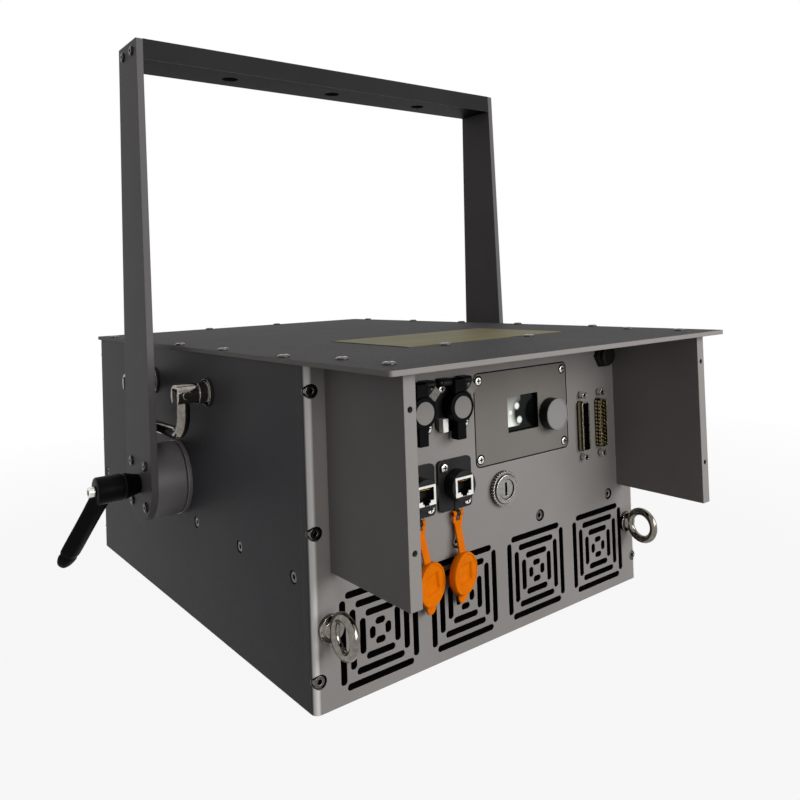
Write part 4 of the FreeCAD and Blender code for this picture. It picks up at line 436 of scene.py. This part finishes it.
def cap_tab():
    """The finger tab: a flat bar with a half-round tip, sqrt(1 - s^2) wide, and cosine ribs between the
    plug and the tip."""
    start = CAP_RADIUS_MM * TAB_START_SHARE
    low = start + (TAB_REACH_MM - start) * np.linspace(0, 1, 70)
    path = np.stack([0 * low, TAB_BACK_MM + 0 * low, -low], -1)
    tip = np.clip((low - TAB_REACH_MM + TAB_WIDE_MM) / TAB_WIDE_MM, 0, TAB_TIP_LIMIT)
    wide = TAB_WIDE_MM * np.sqrt(np.clip(1 - tip ** 2, 0, 1))
    ribbed = (low > CAP_RADIUS_MM + RIB_CLEAR_MM[0]) * (low < TAB_REACH_MM - RIB_CLEAR_MM[1])
    thick = TAB_THICK_MM + RIB_MM * np.cos(low * 2 * np.pi / RIB_PITCH_MM) * ribbed
    thinned = TAB_TIP_SHARE + (1 - TAB_TIP_SHARE) * wide / TAB_WIDE_MM
    return sweep(path, wide, thick * thinned, SIDEWAYS, FLAT_POWER)


STRAP_TOP_MM, STRAP_FOOT_SHARE, STRAP_BACK_MM = 4.6, 0.8, 0.8
STRAP_HALF_MM, STRAP_POWER = (2.7, 0.85), 5.0
STRAP_FLARE_MM, STRAP_FLARE_RUN = 1.4, 0.09


def cap_strap(eye, middle):
    """The strap: a flat band from below the eye to the plug, which moves out by the smooth step
    s^2 (3 - 2 s) and flares at its top by exp(-s / run)."""
    s = np.linspace(0, 1, 40)
    ease = s * s * (3 - 2 * s)
    top, foot = eye[2] - STRAP_TOP_MM, middle[2] + CAP_RADIUS_MM * STRAP_FOOT_SHARE
    out = eye[1] + (middle[1] - STRAP_BACK_MM - eye[1]) * ease
    path = np.stack([eye[0] + 0 * s, out, top + (foot - top) * s], -1)
    wide = STRAP_HALF_MM[0] + STRAP_FLARE_MM * np.exp(-s / STRAP_FLARE_RUN)
    return sweep(path, wide, STRAP_HALF_MM[1], SIDEWAYS, STRAP_POWER)


PRONG_OUT_MM, PRONG_RUN_MM, PRONG_HALF_MM = 2.9, (1.3, 5.6), (1.2, 0.8)
RING_RADII_MM, RING_HALF_MM = (1.1, 1.95), 1.2


def cap_shells(x, lean):
    """The shells of one cap: plug and tab turned a little on the strap, all three hung at a lean from the
    eye, and at the eye two turned rings on the pin, each on a straight swept prong."""
    eye = np.array([x, rear_face + EYE_OUT_MM, SOCKET_Z - EYE_DROP_MM])
    middle = np.array([x, rear_face + CAP_OUT_MM, SOCKET_Z - CAP_DROP_MM])
    hanging = [turned(shell, np.zeros(3), "z", CAP_TURN) + middle for shell in (cap_plug(), cap_tab())]
    hanging.append(cap_strap(eye, middle))
    shells = [(turned(shell, eye, "y", lean), False) for shell in hanging]
    (hole, rim), half = RING_RADII_MM, RING_HALF_MM
    for side in (-1, 1):
        spot = x + side * PRONG_OUT_MM
        ring = [(hole, -half), (rim, -half), (rim, half), (hole, half)]
        shells.append((lathe(ring, (spot, eye[1], eye[2]), "x", count=32), True))
        height = np.linspace(eye[2] - PRONG_RUN_MM[0], eye[2] - PRONG_RUN_MM[1], 6)
        path = np.stack([np.full_like(height, spot), np.full_like(height, eye[1]), height], -1)
        shells.append((sweep(path, *PRONG_HALF_MM, SIDEWAYS, FLAT_POWER), False))
    return shells


# Thermoplastic rubber: strong even orange with a dull skin and a faint bloom.
orange = surface("orange_rubber", ("#d46800", "#dd7200"), rough=(0.44, 0.6), patch_mm=6.0, grain_mm=0.9,
                 depth_mm=0.02, worn="#ee8a10", edge_mm=0.3, IOR=1.5, Specular_IOR_Level=0.04)
for side, x in SOCKET_X.items():
    cap = skin(side + "_rubber_cap", side + "_cap", orange, cap_shells(x, CAP_LEANS[side]))
    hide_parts(side + "_cap")

# Multi-pin ports.
# Two 25-way ports with yellow-passivated steel shells set through the plate from inside, one with
# sockets and one with gold pins, held by six-sided jack screws.
PORT_X, PORT_Z = (-88.6, -109.7), 131.47
INSIDE_HALF_MM, SHELL_END_MM = (3.0, 17.6), 2
BAND_MM, PIN_END_MM = (1.4, 3.2), (2.6, 5.2)
DIMPLE_PITCH_MM, DIMPLE_SHARE = 2.76, (0.38, 0.26)
shell_half = (PORT_X[0] - PORT_X[1]) / 2, INSIDE_HALF_MM[1] + SHELL_END_MM
shell_boxes, inside_boxes = [[dict(x=(x - wide, x + wide), z=(PORT_Z - high, PORT_Z + high)) for x in PORT_X]
                             for wide, high in (shell_half, INSIDE_HALF_MM)]
# Passivated steel: dark olive metal, with painted highlights on the lips and screw ends. The socket
# shell gets a painted highlight in a band round it; the pin shell is darker, with painted glints on rows of
# dimples.
passivated = surface("passivated_steel", ("#3a3626", "#4a4534"), rough=(0.2, 0.32), patch_mm=3.0,
                     grain_mm=0.8, depth_mm=0.0, Metallic=1.0)
tree = passivated.node_tree
# Painted highlight in a band round the socket shell.
band_highlight = zone(tree, **shell_boxes[0], y=(rear_face + BAND_MM[0], rear_face + BAND_MM[1]))
paint(passivated, band_highlight, "#b5ae8c")
pin_shell = zone(tree, **shell_boxes[1])
paint(passivated, pin_shell, "#14110c")
first = (0, (rear_face + DIMPLE_PITCH_MM / 2) * MM, PORT_Z * MM)
place = add(tree, "VectorMath", 0, {0: add(tree, "TexCoord", "Object"), 1: first}, operation="SUBTRACT")
axes = add(tree, "SeparateXYZ", 0, {"Vector": place}).node.outputs
place = add(tree, "CombineXYZ", 0, {"X": axes["Y"], "Y": axes["Z"]})
# Painted glints on the dimples of the pin shell, in rows.
away = add(tree, "TexVoronoi", "Distance", {"Vector": place, "Scale": 1 / (DIMPLE_PITCH_MM * MM),
                                            "Randomness": 0.0}, voronoi_dimensions="2D")
dimple_glints = add(tree, "MapRange", 0, {"Value": away, "From Min": DIMPLE_SHARE[0], "From Max": DIMPLE_SHARE[1]})
paint(passivated, add(tree, "Math", 0, {0: pin_shell, 1: dimple_glints}, operation="MULTIPLY"), "#dccb9e")
# Painted highlight on the faces along the depth: the lips and the screw ends.
front = facing(tree, "Y")
paint(passivated, front, "#e6dfc2")
# Inside, the insulators are black, the socket holes get painted shade, and the pins are gold, with a painted
# highlight at their ends.
for ranges, metal in zip(inside_boxes, ("#2a211c", "#d8b052")):
    inside = zone(tree, **ranges)
    paint(passivated, inside, metal)
    paint(passivated, add(tree, "Math", 0, {0: inside, 1: front}, operation="MULTIPLY"), "#080706")
# Painted highlight at the pins' ends.
pin_end_highlight = zone(tree, **inside_boxes[1], y=(rear_face + PIN_END_MM[0], rear_face + PIN_END_MM[1]))
paint(passivated, pin_end_highlight, "#f2dca0")
dress(passivated, "data_ports", "knob_shaft")


# Control plate, display and knob.
# The control plate is anodised aluminium let into the rear plate; behind its window sits a small lit
# display, and beside it a black knob with a pale turned face on its encoder.
def crevice_shade(tree, reach_mm, low=0.66, high=0.92):
    """A mask for painted shade: how shut in a point is by what stands within a reach of it, 0 in the open, 1
    in a narrow gap.
    """
    open_share = add(tree, "AmbientOcclusion", "AO", {"Distance": reach_mm * MM}, samples=8)
    return add(tree, "MapRange", 0, {"Value": open_share, "From Min": high, "From Max": low})


# Anodised like the case, but browner, with painted shade on the walls of its window and round its screws.
CONTROL_SKIN_MM, CONTROL_DEPTH_MM = 0.35, 4.0
control_anodised = surface("anodised_control_plate", ("#75716c", "#7d7974"), worn="#a3a09b",
                           **dict(ANODISED, patch_mm=60.0, edge_mm=0.3))
tree = control_anodised.node_tree
control_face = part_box("control_plate")[1].y / MM
wall_shade = zone(tree, y=(control_face - CONTROL_DEPTH_MM, control_face - CONTROL_SKIN_MM))
paint(control_anodised, wall_shade, "#121212")
paint(control_anodised, crevice_shade(tree, reach_mm=1.6, low=0.55, high=0.7), "#0c0c0c")
# Its edge gets painted shade along the gap round it: the rim of a rounded rectangle, where |max(|p| - inner,
# 0)| nears the radius.
RIM_MM, PLATE_ROUND_MM = 0.7, 4.0
low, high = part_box("control_plate")
inner = [(high[i] - low[i]) / 2 - PLATE_ROUND_MM * MM for i in (0, 2)]
spot = add(tree, "TexCoord", "Object")
for operation, value in (("SUBTRACT", (low + high) / 2), ("ABSOLUTE", (0, 0, 0)),
                         ("SUBTRACT", (inner[0], 1.0, inner[1])), ("MAXIMUM", (0, 0, 0))):
    spot = add(tree, "VectorMath", 0, {0: spot, 1: value}, operation=operation)
spot = add(tree, "VectorMath", "Value", {0: spot}, operation="LENGTH")
edge = add(tree, "MapRange", 0, {"Value": spot, "From Min": (PLATE_ROUND_MM - RIM_MM) * MM,
                                 "From Max": (PLATE_ROUND_MM - RIM_MM / 2) * MM})
paint(control_anodised, edge, "#0c0c0c")
dress(control_anodised, "control_plate")
# Display glass: near black, with a pale lit field that fades upward, a round dark dial over it and three
# lit points. A spot is x, z, radius and the blur of its edge.
DIAL = (-30.5, 149.0, 11.6, 2.4)
LIT_POINTS = ((-23.1, 154.6, 2.3, 0.6), (-16.6, 150.4, 2.0, 0.6), (-25.3, 144.4, 2.4, 0.6))
LIT_X, LIT_Z = (-27.0, 13.0), (140.5, 170.0)
FADE_Z, FADE_TO = (143.0, 163.0), 0.1
display = surface("display_glass", ("#060707", "#0a0b0b"), rough=(0.1, 0.16), patch_mm=8.0, grain_mm=4.0,
                  depth_mm=0.0, edge_mm=0.1, IOR=1.5, Specular_IOR_Level=0.12, Emission_Strength=1.0)
tree = display.node_tree
place = add(tree, "TexCoord", "Object")
height = add(tree, "SeparateXYZ", "Z", {"Vector": place})
fade = add(tree, "MapRange", 0, {"Value": height, "From Min": FADE_Z[0] * MM, "From Max": FADE_Z[1] * MM,
                                 "To Min": 1.0, "To Max": FADE_TO})
lit = add(tree, "Math", 0, {0: zone(tree, x=LIT_X, z=LIT_Z), 1: fade}, operation="MULTIPLY")
place = add(tree, "VectorMath", 0, {0: place, 1: (1, 0, 1)}, operation="MULTIPLY")
for x, z, radius, blur in (DIAL,) + LIT_POINTS:
    away = add(tree, "VectorMath", "Value", {0: place, 1: (x * MM, 0, z * MM)}, operation="DISTANCE")
    outside = add(tree, "MapRange", 0, {"Value": away, "From Min": (radius - blur) * MM,
                                        "From Max": (radius + blur) * MM})
    if (x, z, radius, blur) == DIAL:
        lit = add(tree, "Math", 0, {0: lit, 1: outside}, operation="MULTIPLY")
    else:
        spot = add(tree, "Math", 0, {0: 1.0, 1: outside}, operation="SUBTRACT")
        lit = add(tree, "Math", 0, {0: lit, 1: spot}, operation="MAXIMUM")
glow = add(tree, "Mix", 2, {"Factor": lit, 6: colour("#000000"), 7: colour("#eef2e8")}, data_type="RGBA")
tree.links.new(glow, tree.nodes["Principled BSDF"].inputs["Emission Color"])
dress(display, "display_module")
# Encoder housing: grey moulded plastic with fine specks.
housing = surface("encoder_housing", ("#3c3c3e", "#525254"), rough=(0.4, 0.6), patch_mm=1.5, grain_mm=0.8,
                  depth_mm=0.01, IOR=1.5)
dress(housing, "encoder_body")
# Knob: black grip with a satin aluminium face let into it.
KNOB_FACE_MM = 0.7
knob_grip = surface("black_knob_grip", ("#121213", "#19191a"), rough=(0.4, 0.55), patch_mm=8.0, grain_mm=0.8,
                    depth_mm=0.02, worn="#3d3d3e", IOR=1.48, Specular_IOR_Level=0.25)
knob_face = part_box("knob")[1].y / MM
knob_inlay = zone(knob_grip.node_tree, y=(knob_face - KNOB_FACE_MM, knob_face + KNOB_FACE_MM))
paint(knob_grip, knob_inlay, "#8a8886")
dress(knob_grip, "knob")

# Key switch.
# A lock with a die-cast, chromed body: knurled ring, bright bezel and a turning barrel, set through the
# rear plate and held by a nut behind it.
# Chrome: hard bright reflections, with painted shade, nearly black, in the hollows of the knurl.
chrome = surface("bright_chrome", ("#85837f", "#a09e9a"), rough=(0.06, 0.14), patch_mm=2.0, grain_mm=0.8,
                 depth_mm=0.0, worn="#e6e5e3", edge_mm=0.3, Metallic=1.0)
paint(chrome, crevice_shade(chrome.node_tree, reach_mm=1.4), "#191817")
dress(chrome, "key_switch_body", "key_switch_barrel")

# Eye bolts and handles.
# Stainless steel, turned and polished: two lifting eyes in the rear plate, and forked posts with a
# bent round bar on each side, each post set on a black rubber washer.
# Polished stainless: bright, with soft scuffs.
stainless = surface("polished_stainless", ("#6a665f", "#827d76"), rough=(0.05, 0.12), patch_mm=2.5,
                    grain_mm=1.0, depth_mm=0.0, worn="#d8d5d0", edge_mm=0.3, Metallic=1.0)
dress(stainless, "eye_bolts", "handle_posts", "hinge_pins", "left_handle", "right_handle")
POST_Y, POST_Z = (-87.95, 20.05), 172.42
WASHER_RADIUS_MM, WASHER_HALF_MM = 10.0, (0.7, 0.6)


def post_washer(side, y):
    """One washer: a ring of oval section, (R + a cos t, b + b sin t), turned about the post on the side
    panel's outer face."""
    t = np.linspace(0, 2 * np.pi, 16, endpoint=False)
    wide, high = WASHER_HALF_MM
    section = np.stack([WASHER_RADIUS_MM + wide * np.cos(t), high + high * np.sin(t)], -1)
    return lathe(section * (1, side) + (0, side * case_half), (0, y, POST_Z), "x", count=64)


# Washer rubber: flat black.
washer_rubber = surface("washer_rubber", ("#0e0e0e", "#161616"), rough=(0.6, 0.75), patch_mm=4.0,
                        grain_mm=0.7, depth_mm=0.02, IOR=1.5, Specular_IOR_Level=0.2)
washers = [(post_washer(side, y), True) for side in (-1, 1) for y in POST_Y]
skin("post_washers", "case", washer_rubber, washers)

# Yoke.
# Two flat arms and a cross bar of anodised aluminium, screwed at the corners; a turned drum on each
# arm runs on a stud in the side panel.
# Anodised like the case: the arms' narrow sides get painted light, and the bar's top and underside get
# painted shade.
yoke_anodised = surface("anodised_yoke", ("#5a575a", "#615e60"), worn="#8f8b8b", **ANODISED)
# Painted light on the arms' narrow sides.
paint(yoke_anodised, facing(yoke_anodised.node_tree, "Y"), "#646163")
dress(yoke_anodised, "left_yoke_arm", "right_yoke_arm")
bar_anodised = surface("anodised_cross_bar", ("#2a2929", "#2f2e2e"), worn="#858283",
                       **dict(ANODISED, Specular_IOR_Level=0.02))
# Painted shade on the bar's top and underside.
paint(bar_anodised, facing(bar_anodised.node_tree, "Z"), "#191919")
dress(bar_anodised, "yoke_bar")
# Turned and anodised drum: smoother, with fine rings from the lathe round its rim, and a lighter tone than
# the arms: painted light for its sheen.
turned_drum = surface("turned_anodised_drum", ("#7d7a7b", "#878384"), rough=(0.32, 0.44), patch_mm=30.0,
                      grain_mm=0.9, depth_mm=0.006, worn="#b5b1af", edge_mm=0.6, stretch=(1, 30, 30),
                      Metallic=0.3, Specular_IOR_Level=0.15)
dress(turned_drum, "pivot_drums", "pivot_studs")

# Clamping levers.
# Die-cast zinc levers with a black powder coat, each turned on the end of its stud: a stepped hub and
# a faceted arm with a finger groove near its tip.
LEVER_Y, LEVER_Z = -40.75, 101.95
HUB_START_MM, HUB_CONE_MM, HUB_BORE_MM, HUB_END_MM = 180.9, 191.75, 205.4, 211.9
# The hub's profile: radius, and distance from the middle of the case.
HUB_PROFILE_MM = ((5.15, HUB_START_MM), (5.15, HUB_BORE_MM), (3.3, HUB_BORE_MM), (3.3, HUB_END_MM),
                  (8.9, HUB_END_MM), (9.6, HUB_END_MM - 0.3), (10.0, HUB_END_MM - 1.0),
                  (10.0, HUB_CONE_MM + 2.4), (9.3, HUB_CONE_MM + 1.8), (9.3, HUB_CONE_MM + 0.8),
                  (9.8, HUB_CONE_MM), (7.0, HUB_START_MM))
ARM_FOOT_MM, ARM_RUN_MM, ARM_DROP = 205.08, (24.0, -63.0), -25.0
ARM_HALF_MM = (8.0, 5.6)
ARM_WAIST, ARM_TIP_POWER, ARM_TIP_LIMIT = 0.06, 12, 0.999
GROOVE_DEPTH, GROOVE_PLACE, GROOVE_WIDTH = 0.1, 0.84, 0.018
ROUND_POWER, RIDGE_POWER, RIDGE_FROM = 2.0, 1.5, 0.3


def lever_shells(side):
    """The shells of one lever: the hub's profile, bored through, turned on a lathe, and an arm whose
    section goes from a round ellipse to a ridged one, narrows by a half sine and a bell-shaped groove and
    closes at its tip as the root of 1 - s^12."""
    hub = lathe(HUB_PROFILE_MM, (0, LEVER_Y, LEVER_Z), "x")
    s = np.linspace(0, ARM_TIP_LIMIT, 90)
    foot = np.array([ARM_FOOT_MM, LEVER_Y, LEVER_Z])
    run = np.array([ARM_RUN_MM[0], 0, ARM_RUN_MM[1]])
    path = turned(foot + s[:, None] * run, foot, "x", ARM_DROP)
    groove = 1 - GROOVE_DEPTH * np.exp(-((s - GROOVE_PLACE) / GROOVE_WIDTH) ** 2)
    size = (1 - ARM_WAIST * np.sin(np.pi * s)) * np.sqrt(1 - s ** ARM_TIP_POWER) * groove
    ridged = ROUND_POWER + (RIDGE_POWER - ROUND_POWER) * np.clip(s / RIDGE_FROM, 0, 1)
    across = turned(np.array([-ARM_RUN_MM[1], 0, ARM_RUN_MM[0]]), np.zeros(3), "x", ARM_DROP)
    arm = sweep(path, ARM_HALF_MM[0] * size, ARM_HALF_MM[1] * size, across, ridged, count=48)
    return [(hub * (side, 1, 1), True), (arm * (side, 1, 1), False)]


# Powder coat: black with a fine orange-peel skin that catches light on the ridges.
powder = surface("powder_coated_zinc", ("#050505", "#080809"), rough=(0.34, 0.48), patch_mm=9.0,
                 grain_mm=1.2, depth_mm=0.03, worn="#2c2c2d", edge_mm=0.5, IOR=1.5, Specular_IOR_Level=0.05)
for name, side in (("left", 1), ("right", -1)):
    lever = skin(name + "_clamping_lever", name + "_lever", powder, lever_shells(side),
                 sharp_degrees=30.0)
    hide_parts(name + "_lever")

# Roof plate and the bare plate on it.
# The roof is one anodised sheet that reaches back as a hood over the connectors; the plate stuck on it
# is thin gold-anodised aluminium, left bare.
# Gold-anodised sheet: dull olive gold with a brushed grain.
gold_sheet = surface("gold_anodised_sheet", ("#625c3e", "#6c6646"), rough=(0.5, 0.62), patch_mm=20.0,
                     grain_mm=0.8, depth_mm=0.005, worn="#98937a", edge_mm=0.2, stretch=(80, 1, 1),
                     Metallic=0.1, Specular_IOR_Level=0.1)
dress(gold_sheet, "blank_plate")
# The roof is anodised like the case, but duller, in a darker tone: painted shade on its top; its edge gets
# painted light.
roof_anodised = surface("anodised_roof", ("#383637", "#3e3c3d"), worn="#a19d9b",
                        **dict(ANODISED, rough=(0.6, 0.7)))
tree = roof_anodised.node_tree
# Painted light on the roof's edge, where its faces turn away from up.
roof_edge_light = add(tree, "Math", 0, {0: 1.0, 1: facing(tree, "Z")}, operation="SUBTRACT")
paint(roof_anodised, roof_edge_light, "#8f8b88")
dress(roof_anodised, "roof_plate")

# Screws.
# Steel screws with hexagon sockets hold the roof and the case, dark-nickelled, and the yoke, blackened;
# the fittings have bright cross-head screws, sunk into the control plate.
# Dark nickel: smoky reflections with sharp glints, and painted shade, black, in the sockets and round the
# heads.
nickel = surface("dark_nickelled_steel", ("#4a4846", "#5d5a57"), rough=(0.1, 0.2), patch_mm=3.0,
                 grain_mm=0.8, depth_mm=0.01, worn="#c9c6c1", edge_mm=0.3, Metallic=1.0)
paint(nickel, crevice_shade(nickel.node_tree, reach_mm=1.5), "#060606")
dress(nickel, "roof_screws", "panel_screws")
# Blackened steel: nearly black, with small glints, and painted shade, black, in the sockets and round the
# heads.
blackened = surface("blackened_steel", ("#1d1c1d", "#292829"), rough=(0.16, 0.28), patch_mm=3.0,
                    grain_mm=0.8, depth_mm=0.01, worn="#7c7a78", edge_mm=0.3, Metallic=1.0)
paint(blackened, crevice_shade(blackened.node_tree, reach_mm=1.5), "#040404")
dress(blackened, "yoke_screws")
# Zinc plating: white bright heads, with painted shade, black, in the cross cut into them.
zinc = surface("zinc_plated_heads", ("#cfcdc8", "#e6e4df"), rough=(0.2, 0.32), patch_mm=2.0, grain_mm=0.8,
               depth_mm=0.0, worn="#f4f3f0", edge_mm=0.25, Metallic=1.0)
paint(zinc, crevice_shade(zinc.node_tree, reach_mm=1.6, low=0.72, high=0.94), "#040404")
dress(zinc, "fitting_screws", "lever_screws")

# Studio.
# A pale floor in a grey room, under a large soft lamp behind the object's rear, a narrow one straight
# behind it and a weak one above. Floor and room look white to the eye and in reflections, and the floor
# keeps a faint shadow near the object.
FLOOR_M = 40.0
ROOM_LEVEL = 0.26
SHADOW_SHARE, SHADOW_REACH_M = 0.08, (0.35, 0.9)
WHITE = {"Color": (1, 1, 1, 1), "Strength": 1.0}
half = FLOOR_M / 2
corners = [(-half, -half, 0), (half, -half, 0), (half, half, 0), (-half, half, 0)]
floor_mesh = bpy.data.meshes.new("floor")
floor_mesh.from_pydata(corners, [], [(0, 1, 2, 3)])
floor = bpy.data.objects.new("floor", floor_mesh)
bpy.context.scene.collection.objects.link(floor)


def white_to_the_eye(tree, end, lit, white, share):
    """Shows a share of the white shader to the eye, in reflections and through glass, and the lit one to
    all other rays."""
    ray = add(tree, "LightPath", "Is Camera Ray").node.outputs
    seen = add(tree, "Math", 0, {0: ray["Is Camera Ray"], 1: ray["Is Glossy Ray"]}, operation="MAXIMUM")
    seen = add(tree, "Math", 0, {0: seen, 1: ray["Is Transmission Ray"]}, operation="MAXIMUM")
    seen = add(tree, "Math", 0, {0: seen, 1: share}, operation="MULTIPLY")
    mixed = add(tree, "MixShader", 0, {0: seen, 1: lit, 2: white})
    tree.links.new(mixed, tree.nodes[end].inputs["Surface"])


# Floor board: grey where it throws light back on the object, white to the eye.
pale = bpy.data.materials.new("white_floor")
pale.use_nodes = True
floor_mesh.materials.append(pale)
tree = pale.node_tree
away = add(tree, "VectorMath", "Value", {0: add(tree, "TexCoord", "Object")}, operation="LENGTH")
share = add(tree, "MapRange", 0, {"Value": away, "From Min": SHADOW_REACH_M[0],
                                  "From Max": SHADOW_REACH_M[1], "To Min": 1 - SHADOW_SHARE, "To Max": 1.0})
white_to_the_eye(tree, "Material Output", add(tree, "BsdfDiffuse", 0, {"Color": colour("#808080")}),
                 add(tree, "Emission", 0, WHITE), share)
room = bpy.data.worlds.new("studio_room")
room.use_nodes = True
bpy.context.scene.world = room
tree = room.node_tree
grey = add(tree, "Background", 0, {"Color": colour("#f2f2f2"), "Strength": ROOM_LEVEL})
white_to_the_eye(tree, "World Output", grey, add(tree, "Background", 0, WHITE), 1.0)

# Each lamp: its place, width and height in metres, and its watts.
LAMPS = (("key_softbox", (-0.95, 2.0, 0.75), 1.5, 1.1, 35.0),
         ("edge_softbox", (0.22, 2.4, 0.5), 0.3, 1.2, 13.0),
         ("top_softbox", (-0.3, 0.3, 2.6), 2.0, 2.0, 8.0))
AIM = Vector((0, 0.1, 0.15))
for name, place, width, height, watts in LAMPS:
    lamp = bpy.data.lights.new(name, "AREA")
    lamp.shape = "RECTANGLE"
    lamp.size, lamp.size_y, lamp.energy = width, height, watts
    holder = bpy.data.objects.new(name, lamp)
    holder.location = place
    holder.rotation_euler = (AIM - Vector(place)).to_track_quat("-Z", "Y").to_euler()
    bpy.context.scene.collection.objects.link(holder)

# Camera.
# It stands close behind the left rear corner, nearly level, with the frame shifted down to the case, as
# the photograph was taken.
CAMERA_PLACE_MM = (369.0, 549.2, 246.0)
CAMERA_TURN_DEGREES = (91.11, 1.99, 141.22)
LENS_MM, SENSOR_MM = 34.45, 36.0
FRAME_SHIFT = (-0.0356, -0.1668)
NEAR_M = 0.01
camera = bpy.data.cameras.new("camera")
camera.lens, camera.sensor_width = LENS_MM, SENSOR_MM
camera.shift_x, camera.shift_y = FRAME_SHIFT
camera.clip_start = NEAR_M
stand = bpy.data.objects.new("camera", camera)
stand.location = [c * MM for c in CAMERA_PLACE_MM]
stand.rotation_euler = Euler([math.radians(a) for a in CAMERA_TURN_DEGREES], "XYZ")
bpy.context.scene.collection.objects.link(stand)
bpy.context.scene.camera = stand
bpy.context.scene.view_settings.view_transform = "Standard"
